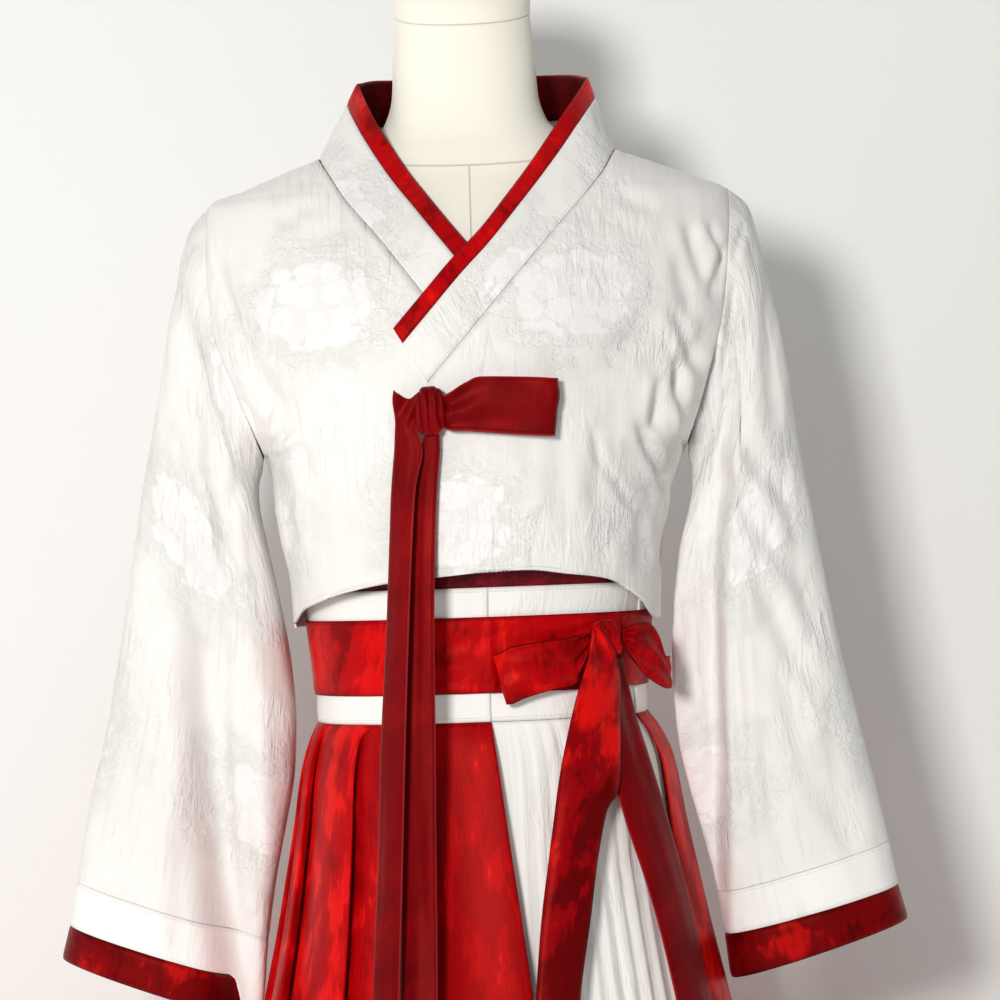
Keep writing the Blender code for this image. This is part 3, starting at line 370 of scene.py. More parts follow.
class Finish:
    """One procedural material. Its nodes read `cloth`: place on the flat cloth in metres (u, v), and how far in
    from the edge, counted in distances from the edge to the stitching."""

    def __init__(self, name, **sockets):
        self.material = bpy.data.materials.new(name)
        self.material.use_nodes = True
        self.tree = self.material.node_tree
        self.shader = self.tree.nodes["Principled BSDF"]
        for key, value in sockets.items():
            self.shader.inputs[key.replace("_", " ")].default_value = value
        cloth = self.node("Attribute", attribute_name="cloth", out=1)
        self.u, self.v, self.edge = self.node("SeparateXYZ", cloth, out=slice(3))
        self.place = self.node("CombineXYZ", self.u, self.v, 0.0)
        self.height = None

    def node(self, kind, *values, **settings):
        return add_node(self.tree, kind, *values, **settings)

    def vector(self, operation, *values, out=0):
        return self.node("VectorMath", *values, operation=operation, out=out)

    def stretched(self, along_u, along_v):
        return self.node("CombineXYZ", self.u * along_u, self.v * along_v, 0.0)

    def noise(self, where, scale, detail=2.0, rough=0.5, warp=0.0):
        return self.node("TexNoise", where, None, scale, detail, rough, 2.0, 0.0, 1.0, warp)

    def mix(self, share, a, b):
        a, b = (c if isinstance(c, Value) else (*c, 1) for c in (a, b))
        return self.node("Mix", share, *[None] * 5, a, b, data_type="RGBA", out=2)

    def raise_by(self, height, millimetres):
        """Adds a height, in millimetres where `height` is 1, to the surface's relief."""
        scaled = height * (millimetres * MM)
        self.height = self.height + scaled if self.height else scaled

    def done(self, colour, rough=None):
        links = [(colour, "Base Color"), (rough, "Roughness")]
        if self.height:
            bump = self.tree.nodes.new("ShaderNodeBump")
            bump.inputs["Strength"].default_value = bump.inputs["Distance"].default_value = 1.0
            self.tree.links.new(self.height.socket, bump.inputs["Height"])
            links.append((Value(bump.outputs[0]), "Normal"))
        for value, socket in links:
            if value:
                self.tree.links.new(value.socket, self.shader.inputs[socket])
        return self.material

    # patterns
    def weave(self, threads_u, threads_v):
        """Warp over weft, as two crossed waves; threads per metre."""
        return (self.u * (threads_u * 2 * math.pi)).sine() * (self.v * (threads_v * 2 * math.pi)).sine()

    def groove(self, wide=0.12):
        """1 along the line of stitching, where the edge value is 1."""
        return abs(self.edge - 1.0).smooth(wide, 0.0)

    def blossoms(self, spacing, radius, seed):
        """Ruffled flowers, one in each cell of a scatter: (mask, height)."""
        ragged = self.node("TexNoise", self.place, None, 120.0, 2.0, 0.5, out=1)
        ragged = self.vector("MULTIPLY", self.vector("SUBTRACT", ragged, (0.5, 0.5, 0.5)), (0.008, 0.008, 0.0))
        where = self.vector("ADD", self.vector("ADD", self.place, ragged), (seed, seed * 0.7, 0.0))
        cell = self.node("TexVoronoi", where, None, 1 / spacing, *[None] * 5, 0.62, voronoi_dimensions="2D",
                         out=slice(3))
        local = self.vector("SUBTRACT", where, cell[2])
        x, y = self.node("SeparateXYZ", local, out=slice(2))
        turn, size = self.node("SeparateColor", cell[1], out=slice(2))
        angle = y.math("ARCTAN2", x) + turn * 6.28
        far = self.vector("LENGTH", local, out=1) / (size.times_plus(0.45, 0.70) * radius)
        petal = abs((angle * 2.5).math("COSINE"))
        ruffle = far.times_plus(6.0, angle * 7.0).sine()
        share = far / (petal.math("POWER", 0.5).times_plus(0.26, 0.66) + ruffle * 0.06)
        raised = share.times_plus(6.5, 2.0).sine().times_plus(0.24, petal.times_plus(0.25, 0.5))
        return share.smooth(1.04, 0.80), share.smooth(1.06, 0.62) * raised

    def flowers(self):
        """Sprays of flowers in a half-drop repeat: (mask, height, ground round them)."""
        wide, high = REPEAT
        row = (self.v + 3.332) / high
        x = ((self.u + 2.02 + row.math("FLOOR") * (wide / 2)) / wide).math("FRACT")
        y = row.math("FRACT")
        warp = self.noise(self.place, 38.0, 2.0, 0.55)
        dx, dy = (x - 0.5) * (wide / SPRAY[0]), (y - 0.5) * (high / SPRAY[1])
        far = (dx * dx + dy * dy).math("SQRT")
        spray = (far + warp * 0.9).smooth(1.5, 1.38)
        core = (far + warp * 1.7).smooth(1.78, 1.62)
        near = (far + warp * 1.3).smooth(2.25, 2.1).most(self.noise(self.place, 13.0, 1.0).smooth(0.60, 0.66))
        big, big_height = self.blossoms(0.0205, 0.0138, 3.0)
        small, small_height = self.blossoms(0.0125, 0.0062, 7.0)
        large = (big * spray).most(core * 0.62)
        rest = add_node(self.tree, "Math", 1.0, large, operation="SUBTRACT")
        # leaves and tendrils: thin level lines of a soft noise
        vine = abs(self.noise(self.place, 46.0, 1.0, 0.4, 0.4) - 0.5).smooth(0.045, 0.0) * near * rest
        mask = large.most((small * near * rest * 0.35).most(vine * 0.4))
        height = (big_height.times_plus(0.7, core * 0.3) + small_height * near * rest) * spray.most(near)
        return mask, height, (far + warp * 2.2).smooth(3.3, 2.0)

    def crepe(self, strength):
        """Fine crinkles that run down the cloth, stronger in patches."""
        patches = self.noise(self.place, 14.0).smooth(0.46, 0.62)
        fine = self.noise(self.stretched(330.0, 46.0), 1.0, 3.0, 0.55, 0.5)
        broad = self.noise(self.stretched(135.0, 34.0), 1.0, 3.0, 0.55, 1.1)
        self.raise_by((fine * 0.40 + broad * 1.3) * patches.times_plus(1.35, 0.25), strength)


def white_cloth(name, flowered, low, high, brushed, strength):
    """Off-white silk with crinkles down the cloth; the flowered one has raised sprays, whiter than their ground."""
    f = Finish(name, Roughness=0.60, Sheen_Weight=0.12, Sheen_Roughness=0.5, Specular_IOR_Level=0.35)
    brush = f.noise(f.stretched(170.0, 13.0), 1.0, 3.0, 0.6, 0.4).smooth(0.50, 0.66)
    patch = f.noise(f.place, 11.0).smooth(0.47, 0.60)
    colour = f.mix(f.noise(f.place, 8.0).smooth(0.35, 0.65), low, high)
    colour = f.mix(brush * patch * brushed, colour, (0.66, 0.645, 0.615))
    f.crepe(strength)
    f.raise_by(f.weave(1500, 1300), 0.003)
    rough = None
    if flowered:
        mask, height, around = f.flowers()
        colour = f.mix(around * 0.66, colour, (0.675, 0.68, 0.645))
        colour = f.mix(mask * 0.88, colour, (0.90, 0.86, 0.855))
        f.raise_by(height, 0.50)
        rough = mask.times_plus(-0.18, 0.62)
    # the stitching line: a sunken groove whose darker colour is painted shade
    line = f.groove()
    f.raise_by(line, -0.12)
    return f.done(f.mix(line * 0.12, colour, (0.45, 0.42, 0.40)), rough)


def red_cloth(name, dark, mid, bright, mottled, painted_edge_shading, rough=0.44, gloss=0.35, painted_sheen=None):
    """Red satin with a tonal pattern of ragged patches, brushed along the cloth; its edges are painted darker as
    shade, or paler as a painted highlight, and its stitching line gets painted shade.
    A last argument (axis, from, to, amount) paints more bright patches towards `to`: a painted sheen where light
    falls on the cloth."""
    f = Finish(name, Specular_IOR_Level=gloss, Specular_Tint=(1.0, 0.10, 0.08, 1))
    broad = f.noise(f.place, 21.0, warp=0.4)
    ragged = f.noise(f.stretched(150.0, 62.0), 1.0, 3.0, 0.6, 0.6)
    cloud = broad * 0.70 + ragged * 0.30
    # painted sheen: fewer bright patches towards one end of the cloth and more towards the other, painted light
    if painted_sheen:
        axis, start, end, amount = painted_sheen
        cloud = cloud + getattr(f, axis).smooth(start, end, -amount, amount)
    patch = cloud.smooth(0.52, 0.635)
    colour = f.mix(f.noise(f.place, 7.0).smooth(0.35, 0.65), mid, tuple(c * 1.25 for c in mid))
    colour = f.mix(patch * mottled, colour, bright)
    colour = f.mix(cloud.smooth(0.485, 0.40) * (0.9 * mottled), colour, dark)
    # painted edges: a darker edge colour is painted shade along the cloth's edges, a paler one (the ribbons') a
    # painted highlight along their folded edges
    colour = f.mix(f.edge.smooth(0.55, 0.1) * 0.75, colour, painted_edge_shading)
    # the stitching line: a sunken groove, its colour pulled towards the dark tone as painted shade
    line = f.groove(0.16)
    f.raise_by(line, -0.15)
    f.raise_by(patch, 0.05 * mottled)
    f.raise_by(f.noise(f.stretched(240.0, 60.0), 1.0), 0.12)
    f.raise_by(f.weave(1900, 1700), 0.002)
    return f.done(f.mix(line * 0.55, colour, dark), patch.times_plus(-0.10 * mottled, rough))


def glossy_burgundy():
    f = Finish("burgundy_satin", Specular_IOR_Level=0.7, Specular_Tint=(1.0, 0.25, 0.3, 1))
    tone = f.noise(f.place, 40.0, 3.0, 0.6).smooth(0.35, 0.7)
    f.raise_by(f.noise(f.stretched(190.0, 70.0), 1.0, warp=0.6), 0.55)
    return f.done(f.mix(tone, (0.06, 0.0007, 0.003), (0.19, 0.004, 0.012)), tone.times_plus(0.10, 0.22))


def jersey():
    """Knitted cream cover; its edge value is the height over the neck's seam and u counts from the front seam."""
    f = Finish("cream_jersey", Roughness=0.72, Sheen_Weight=0.25, Sheen_Roughness=0.6, Specular_IOR_Level=0.25)
    tone = f.noise(f.place, 5.0, 3.0).smooth(0.3, 0.7)
    front = abs(f.u - 0.002).smooth(0.0009, 0.0002) * f.edge.smooth(0.0005, -0.0005)
    line = front.most(abs(f.edge).smooth(0.0010, 0.0002))
    f.raise_by(line, -0.5)
    rib = abs((f.u * (1050 * math.pi)).sine())
    f.raise_by(rib * abs(f.v.times_plus(1250 * math.pi, rib * 1.4).sine()), 0.035)
    return f.done(f.mix(line * 0.55, f.mix(tone, (0.89, 0.845, 0.74), (0.93, 0.895, 0.80)), (0.50, 0.43, 0.33)))


def paint():
    f = Finish("cream_paint", Roughness=0.38, Specular_IOR_Level=0.5, Coat_Weight=0.25, Coat_Roughness=0.2)
    spot = f.node("TexCoord", out=3)
    colour = f.mix(f.noise(spot, 7.0, 4.0, 0.6).smooth(0.35, 0.7), (0.70, 0.675, 0.62), (0.78, 0.755, 0.70))
    worn = f.noise(spot, 60.0, 4.0, 0.65).smooth(0.66, 0.74)
    f.raise_by(f.noise(spot, 900.0), 0.04)
    return f.done(f.mix(worn * 0.18, colour, (0.45, 0.42, 0.37)), worn.times_plus(0.25, 0.36))


def thread():
    f = Finish("thread", Roughness=0.6, Sheen_Weight=0.2)
    twist = (f.node("SeparateXYZ", f.node("TexCoord", out=3)) * 9000.0).sine()
    return f.done(f.mix(twist.smooth(-1.0, 1.0), (0.72, 0.69, 0.66), (0.84, 0.81, 0.78)))


# Each look: its material and the part's colour slot.
LOOKS = {
    "jacquard": (white_cloth("white_jacquard", True, (0.84, 0.815, 0.79), (0.88, 0.855, 0.83), 0.42, 1.0),
                 "jacquard"),
    "crepe": (white_cloth("white_crepe", False, (0.90, 0.875, 0.85), (0.94, 0.915, 0.89), 0.22, 0.6), "white_band"),
    "burgundy": (glossy_burgundy(), "burgundy"),
    "jersey": (jersey(), "cream_jersey"),
    "paint": (paint(), "painted_metal"),
    "thread": (thread(), "white_band"),
}
# Red cloths: look, slot, material, dark, mid and bright colours, how mottled, the colour painted at the edges as
# shade (paler on the ribbons, as a highlight), then roughness, gloss and the painted sheen's (axis, from, to,
# amount).
for look, slot, *finish in (
        ("red_satin", "red_satin", "red_damask_satin", (0.15, 0.0004, 0.0012), (0.38, 0.0010, 0.003),
         (0.72, 0.006, 0.005), 0.85, (0.09, 0.0006, 0.002)),
        # the overskirt: its bright patches, brighter than the red satin's, are damask with painted highlight in them,
        # and a painted sheen covers part of its hem for its lit pleats
        ("skirt", "red_satin", "red_skirt_satin", (0.20, 0.0006, 0.002), (0.36, 0.0010, 0.003),
         (0.92, 0.010, 0.008), 0.62, (0.10, 0.0006, 0.002), 0.44, 0.35, ("u", *PAINTED_SHEEN_SPAN, 0.065)),
        # the belt's over tail: a darker copy of the red satin, painted shade, with a painted sheen that brightens it
        # towards its top
        ("bow_tail", "red_satin", "red_bow_satin", (0.075, 0.0004, 0.0012), (0.24, 0.0008, 0.003),
         (0.74, 0.006, 0.005), 0.9, (0.09, 0.0006, 0.002), 0.44, 0.35, ("v", -0.26, -0.17, 0.075)),
        # the ribbons: their pale edge colour is a painted highlight along the folded edges
        ("ribbon", "red_tie", "red_ribbon", (0.085, 0.0005, 0.0015), (0.145, 0.001, 0.003),
         (0.28, 0.003, 0.005), 0.45, (0.36, 0.03, 0.035), 0.46),
        ("lining", "dark_red", "dark_red_lining", (0.03, 0.0004, 0.001), (0.075, 0.0006, 0.002),
         (0.17, 0.002, 0.004), 0.7, (0.05, 0.0005, 0.001), 0.5, 0.3),
        # the cuff trims: a darker copy of the red satin, painted shade for the shadow they hang in
        ("trim", "red_satin", "red_trim_satin", (0.05, 0.0003, 0.001), (0.135, 0.0007, 0.002),
         (0.50, 0.005, 0.005), 0.85, (0.06, 0.0006, 0.002))):
    LOOKS[look] = (red_cloth(*finish), slot)
LOOKS["collar_edge"] = (LOOKS["red_satin"][0], "red_tie")




# ------------------------------------------------------------------ cloth
def through(values, count):
    """Smooth values through the rows of an array, `count` of them."""
    values = np.asarray(values, float)
    at = np.linspace(0, len(values) - 1, count)
    flat = values.reshape(len(values), -1)
    made = np.stack([smooth_curve(np.arange(len(values)), column, at) for column in flat.T], -1)
    return made.reshape((count,) + values.shape[1:])


def grid_normals(mid):
    return unit(np.cross(np.gradient(mid, axis=0), np.gradient(mid, axis=1)))


def run_along(grid, axis):
    """Length along the grid's lines, from their first point."""
    step = np.linalg.norm(np.diff(grid, axis=axis), axis=-1)
    pad = [(0, 0), (0, 0)]
    pad[axis] = (1, 0)
    return np.cumsum(np.pad(step, pad), axis=axis)


def noise(u, v, cell_u, cell_v, seed):
    """Soft uneven waves, -1 to 1, over the cloth's own lengths."""
    lattice = np.random.default_rng(seed).uniform(-1, 1, (64, 64))
    a, b = u / cell_u, v / cell_v
    i, j = np.floor(a).astype(int), np.floor(b).astype(int)
    fa, fb = ease(a - i), ease(b - j)

    def corner(p, q):
        return lattice[(i + p) % 64, (j + q) % 64]

    low = corner(0, 0) * (1 - fa) + corner(1, 0) * fa
    high = corner(0, 1) * (1 - fa) + corner(1, 1) * fa
    return low * (1 - fb) + high * fb


def creases(x, z, rows):
    """Folds given one by one, each from (x0, z0) to (x1, z1): a trough with softer ridges beside it."""
    total = np.zeros(np.broadcast(x, z).shape)
    for x0, z0, x1, z1, wide, deep in rows:
        dx, dz = x1 - x0, z1 - z0
        long = math.hypot(dx, dz)
        along = ((x - x0) * dx + (z - z0) * dz) / long ** 2
        across = ((x - x0) * dz - (z - z0) * dx) / long + 0.1 * long * (along - 0.5) ** 2
        fade = ease(np.minimum(along, 1 - along) * 3.2 + 0.15)
        total += deep * fade * (0.55 * np.exp(-((across - 1.5 * wide) / wide) ** 2)
                                + 0.35 * np.exp(-((across + 1.6 * wide) / wide) ** 2)
                                - np.exp(-(across / wide) ** 2))
    return total


def nearest_edge(grid, first_u=False, last_u=False, first_v=False, last_v=False):
    """Distance to the nearest of the named edges of a grid."""
    ru, rv = run_along(grid, 0), run_along(grid, 1)
    far = np.full(grid.shape[:2], 1e3)
    for wanted, run in ((first_u, ru), (last_u, ru[-1] - ru), (first_v, rv), (last_v, rv[:, -1:] - rv)):
        if wanted:
            far = np.minimum(far, run)
    return far


MADE = {}                               # node: (object, grid, normals)
STITCH_STEP, STITCH_LONG, STITCH_RADIUS = 3.4, 2.3, 0.3


def placed(name, data):
    obj = bpy.data.objects.new(name, data)
    bpy.context.scene.collection.objects.link(obj)
    return obj


def mesh_object(name, points, faces, flat_faces, cloth, look, node):
    """An object in the part's frame that stands for a CAD node. cloth = place on the flat cloth and share of the
    way in from its edge to the stitching."""
    material, slot = LOOKS[look]
    mesh = bpy.data.meshes.new(name)
    mesh.from_pydata(((points + (0, 0, DATUM)) * MM).tolist(), [], faces)
    smooth = np.ones(len(mesh.polygons), bool)
    if flat_faces:
        smooth[-flat_faces:] = False
    mesh.polygons.foreach_set("use_smooth", smooth)
    place = mesh.attributes.new("cloth", "FLOAT_VECTOR", "POINT")
    place.data.foreach_set("vector", np.asarray(cloth, np.float32).ravel())
    mesh.materials.append(material)
    obj = placed(name, mesh)
    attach(obj, "root")
    if node:
        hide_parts(node)
    return obj


def shell(node, mid, n, thick, look, place, edge, stitch):
    """A thin closed shell round a grid of points with normals n, with its rims; place = (u, v) on the flat cloth,
    edge = distance to the nearest edge and stitch = the stitching's distance from it, in mm."""
    half = n * (np.asarray(thick, float) / 2 * np.ones(mid.shape[:2]))[..., None]
    nu, nv = mid.shape[:2]
    at = np.arange(nu * nv).reshape(nu, nv)
    back = at + nu * nv

    def quads(*corners):
        return np.stack(corners, -1).reshape(-1, 4)

    sheets = [quads(at[:-1, :-1], at[1:, :-1], at[1:, 1:], at[:-1, 1:]),
              quads(back[:-1, :-1], back[:-1, 1:], back[1:, 1:], back[1:, :-1])]
    rims = np.concatenate([quads(at[:-1, 0], back[:-1, 0], back[1:, 0], at[1:, 0]),
                           quads(at[:-1, -1], at[1:, -1], back[1:, -1], back[:-1, -1]),
                           quads(at[0, :-1], at[0, 1:], back[0, 1:], back[0, :-1]),
                           quads(at[-1, :-1], back[-1, :-1], back[-1, 1:], at[-1, 1:])])
    cloth = np.stack([place[0] * MM, place[1] * MM, edge / stitch], -1).reshape(-1, 3)
    points = np.concatenate([(mid + half).reshape(-1, 3), (mid - half).reshape(-1, 3)])
    faces = np.concatenate(sheets + [rims]).tolist()
    obj = mesh_object("cloth_" + node, points, faces, len(rims), np.concatenate([cloth, cloth]), look, node)
    MADE[node] = (obj, mid, n)


def solid_rings(name, rings, look, place, node):
    """A closed body through rings of points, each ring closed, with caps."""
    nu, nv = rings.shape[:2]
    at = np.arange(nu * nv).reshape(nu, nv)
    nxt = np.roll(at, -1, 1)
    sides = np.stack([at[:-1], nxt[:-1], nxt[1:], at[1:]], -1).reshape(-1, 4).tolist()
    caps = [tuple(at[0][::-1].tolist()), tuple(at[-1].tolist())]
    cloth = np.stack([place[0] * MM, place[1] * MM, place[2]], -1).reshape(-1, 3)
    return mesh_object(name, rings.reshape(-1, 3), sides + caps, 2, cloth, look, node)


def stitches(name, path, out):
    """A line of running stitches along a path of points; out is the cloth's outward direction there."""
    run = lengths(path)
    at = np.arange(STITCH_STEP, run[-1] - STITCH_STEP, STITCH_STEP)

    def pick(values, where):
        return np.stack([np.interp(where, run, column) for column in values.T], -1)

    middle, start, end = (pick(path, at + k * STITCH_LONG / 2) for k in (0, -1, 1))
    up = unit(pick(out, at))
    side = unit(np.cross(end - start, up)) * STITCH_RADIUS
    up = up * STITCH_RADIUS
    points = np.stack([start - up * 0.6, middle + side, middle + up, middle - side, middle - up, end - up * 0.6], 1)
    star = np.array([(0, 1, 2), (0, 2, 3), (0, 3, 4), (0, 4, 1), (5, 2, 1), (5, 3, 2), (5, 4, 3), (5, 1, 4)])
    faces = (star[None] + 6 * np.arange(len(at))[:, None, None]).reshape(-1, 3)
    mesh_object(name, points.reshape(-1, 3), faces.tolist(), 0, np.zeros((len(at) * 6, 3)), "thread", None)


# ------------------------------------------------------------------ jacket
# Rows of a jacket half: the front hem is row 0, then come the collar's foot, the shoulder, the nape and the back
# hem. An armhole takes ARMHOLE_ROWS of them on either side of the shoulder, and the side seam the rest.
FOOT_ROW, SHOULDER_ROW, NAPE_ROW, LAST_ROW, ARMHOLE_ROWS = 4, 16, 22, 32, 12
BACK_SEAM_Z = (292, 262, 226, 188, 152, 118, 84, 45, 0, -47, -95)
SIDE_SEAM_Z = (ARMPIT, 10, -25, -58, -96.5)
NECK_Z = 277.0                           # of the shoulder seam at the collar
BODY_ACROSS, BODY_ALONG = 76, 276        # points of a half's grid
HEM_STITCH = 6.0


def lengthwise(rows):
    """(facing, turn) of rows of a jacket half: -1 in front and 1 behind; 0 at the shoulder, 1 at the armpit."""
    return np.where(rows < SHOULDER_ROW, -1, 1), abs(rows - SHOULDER_ROW) / ARMHOLE_ROWS


def body_row(side, i):
    """Row i of a jacket half: x and z of its inner end, and z of its outer one."""
    tab = COLLAR[side]
    edge_x, foot = FRONT_EDGE[side], tab["seam_z"][0]
    hem = float(row_of(HEMLINE, "z", edge_x))
    if i < FOOT_ROW:
        share = np.interp(i, (0, 1, 2, 3), (0, 0.3, 0.6, 0.85)) / 0.85
        ix = np.interp(i, (3, FOOT_ROW), (edge_x, tab["seam_x"][0]))
        iz = np.interp(i, (3, FOOT_ROW), (hem + (foot - 30 - hem) * share, foot))
    elif i <= SHOULDER_ROW:
        ix, iz = rows_of(tab, "seam_x seam_z", (i - FOOT_ROW) / 12)
    elif i <= NAPE_ROW:
        ix, iz = rows_of(tab, "seam_x seam_z", 1 + (i - SHOULDER_ROW) / 6)
        ix = side * max(side * ix, SEAM / 2)
    else:
        ix, iz = side * SEAM / 2, np.interp(i, range(NAPE_ROW, LAST_ROW + 1), BACK_SEAM_Z)
    turn = lengthwise(i)[1]
    oz = armhole_z(math.pi * turn) if turn <= 1 else np.interp(
        abs(i - SHOULDER_ROW), range(ARMHOLE_ROWS, SHOULDER_ROW + 1), SIDE_SEAM_Z)
    return float(ix), float(iz), float(oz)


def body_points(side, rows, across):
    grid = []
    for i in rows:
        ix, iz, oz = body_row(side, i)
        facing = int(lengthwise(i)[0])
        ox = float(torso_width(side, oz))
        x = ix + (ox - ix) * np.sin(across * math.pi / 2) ** 0.85
        z = iz + (oz - iz) * np.abs((x - ix) / (ox - ix))
        if i < 1:
            z = z * i + row_of(HEMLINE, "z", x) * (1 - i)
        y = torso_y(x, z, facing)
        if side > 0 and facing < 0:
            y = y - lap(x)
        y[-1] = facing * max(float(armhole_depth(oz)), SEAM / 2)
        if abs(i - SHOULDER_ROW) < 1e-6:
            y[:] = 0
        grid.append(np.stack([x, y, z], -1))
    return np.array(grid)


# Height, cell across, cell along and seed of the crinkle, its patches, the swell and a smaller one.
BODY_WAVES = table("0.55 7 34 3; 0.5 60 70 8; 1.1 46 80 12; 0.5 19 36 15", 4)
SLEEVE_WAVES = table("0.65 7 40 31; 0.5 50 80 34; 1.0 40 110 37; 0.5 17 50 40", 4)


def unevenness(u, v, side, waves):
    """(swell, crinkle) of a piece of the jacket."""
    crinkle, patches, swell, small = (high * noise(u, v, across, along, int(seed) + side)
                                      for high, across, along, seed in waves)
    return swell + small, crinkle * (0.5 + patches)


# x0 z0 x1 z1 wide deep; the front ones follow what hangs from the armholes, the back ones the blades
BODY_CREASES = {
    (+1, -1): table("""
        206 200 186 148 6 4.2; 168 214 184 152 6 3.1; 190 138 128 40 9 3.9; 186 96 140 -10 10 4.2;
        176 52 160 -60 7 3.4; 150 150 96 96 10 2.1; 160 190 172 120 8 2.3; 136 20 120 -70 9 2.1;
        100 70 86 -20 9 1.4; 154 108 166 34 5 5.4; 150 148 182 84 6 3.4; 187 212 200 178 4 2.6;
        122 60 148 0 5 4.6; 142 92 136 44 5 3.6; 88 54 96 18 4 2.4; 98 20 118 -10 4 2.2; 140 -10 146 -70 6 3.4;
        60 60 66 -40 8 1; 112 236 150 218 8 1.6""", 6),
    (-1, -1): table("""
        -204 196 -182 140 7 3.9; -188 150 -150 62 9 4.2; -184 96 -146 -4 9 3.9; -174 52 -158 -70 7 3.1;
        -160 200 -170 130 8 2.3; -142 134 -104 70 10 2; -128 30 -118 -66 9 2; -90 60 -84 -30 9 1.3;
        -116 236 -152 218 8 1.6; -172 38 -158 82 4 3.6; -170 40 -138 62 4 3.2; -174 44 -184 90 4 3.4;
        -168 36 -132 44 4 2.6; -138 50 -128 16 6 3; -150 10 -142 -40 5 2.6""", 6),
    (+1, +1): table("""
        196 190 150 96 9 3.4; 186 110 128 20 10 3.6; 176 56 146 -60 9 3.1; 120 210 70 120 12 2.1;
        92 60 84 -70 11 2; 40 120 44 -40 12 1.3""", 6),
    (-1, +1): table("""
        -196 184 -148 90 9 3.4; -186 100 -132 14 10 3.6; -176 50 -148 -66 9 3.1; -116 206 -74 118 12 2.1;
        -96 50 -82 -76 11 2; -46 110 -40 -46 12 1.3""", 6),
}


def jacket_body(side, node):
    """One half of the jacket, front and back in one over the shoulder."""
    across = np.linspace(0, 1, BODY_ACROSS)
    bend = SHOULDER_ROW * np.linspace(0, 1, 700) ** 2
    rows = np.concatenate([SHOULDER_ROW - bend[::-1], SHOULDER_ROW + bend[1:]])
    grid = body_points(side, rows, across)
    run = run_along(grid, 0).mean(axis=1)
    rows = np.interp(np.linspace(0, run[-1], BODY_ALONG), run, rows)
    rows[np.argmin(abs(rows - SHOULDER_ROW))] = SHOULDER_ROW
    grid = body_points(side, rows, across)
    n = grid_normals(grid)
    n *= -np.sign(n[40, 30, 1])
    across_seam = np.array([side, 0.0, 0.0])
    for k, (facing, turn) in enumerate(zip(*lengthwise(rows))):
        if turn >= 1:
            n[k, -1] = across_seam
        else:
            out = armhole_normal(side, np.array(turn * math.pi), facing)
            blend = float(ease((turn - 0.83) / 0.17))
            n[k, -1] = unit(out * (1 - blend) + across_seam * blend)
    n[rows > NAPE_ROW, 0, 0] = 0
    n = unit(n)
    x, z = grid[..., 0], grid[..., 2]
    front = (rows < SHOULDER_ROW)[:, None] & np.ones_like(x, bool)
    u = np.cumsum(np.pad(np.hypot(np.diff(x, axis=1), np.diff(grid[..., 1], axis=1)), ((0, 0), (1, 0))), axis=1)
    u = side * u + x[:, :1]
    v = np.where(front, z, 2 * NECK_Z - z)
    fold = np.where(front, creases(x, z, BODY_CREASES[side, -1]), creases(x, z, BODY_CREASES[side, 1]))
    swell, crinkle = unevenness(u, v, side, BODY_WAVES)
    free = ease(nearest_edge(grid, first_v=True, last_v=True) / 8)
    under = ease((x * side + 20) / 60) if side > 0 else ease((-x - 5) / 60)
    lie = np.where(front, 0.12 + 0.88 * under, 1.0)
    grid = grid + n * (free * lie * (fold + swell + crinkle))[..., None]
    edge = nearest_edge(grid, first_u=True, last_u=True)
    thick = CLOTH + 0.5 * ease((7.0 - edge) / 1.6)
    shell(node, grid, n, thick, "jacquard", (u, v), edge, HEM_STITCH)


SLEEVE_CREASES = {
    (+1, -1): table("""
        197 -20 199 -290 6 5.5; 180 -30 184 -260 9 4.5; 219 212 202 180 4 3; 202 176 202 40 8 6;
        238 200 232 40 8 3.4; 196 60 246 -20 9 3.8; 190 20 250 -84 10 3.8; 204 -40 262 -170 10 3.5;
        238 40 262 -130 9 2.7; 224 -120 276 -290 11 3; 262 -150 292 -330 10 2.4; 206 -180 246 -350 10 2.7""", 6),
    (-1, -1): table("""
        -236 196 -214 90 8 3.5; -219 144 -196 -90 6 4.4; -200 60 -226 10 8 2.2; -190 30 -206 -50 7 3;
        -244 60 -262 -130 10 2.6; -211 -48 -214 -330 15 4.6; -190 -120 -186 -330 8 4;
        -262 -150 -290 -330 11 2.7; -236 -200 -250 -370 9 2.4""", 6),
    (+1, +1): table("""
        232 200 204 90 9 3.5; 200 60 252 -50 10 4.1; 190 0 240 -140 10 3.8; 222 -60 276 -260 12 3.5;
        196 -160 240 -350 11 3.5; 256 -80 296 -320 11 3""", 6),
    (-1, +1): table("""
        -232 194 -206 84 9 3.5; -202 54 -250 -56 10 4.1; -190 -6 -238 -146 10 3.8; -224 -70 -280 -270 12 3.5;
        -196 -170 -238 -350 11 3.5; -260 -90 -306 -330 11 3""", 6),
}


def sleeve_grid(side, s, turn):
    grid = np.array([sleeve_point(side, np.full(len(turn), k), turn % (2 * math.pi)) for k in s])
    open_seam = side * (SEAM + 2.0 * ease((abs(turn) - 2.2) / 0.9))
    grid[..., 0] += open_seam[None] * np.clip(1 - s / 0.035, 0, 1)[:, None]
    return grid


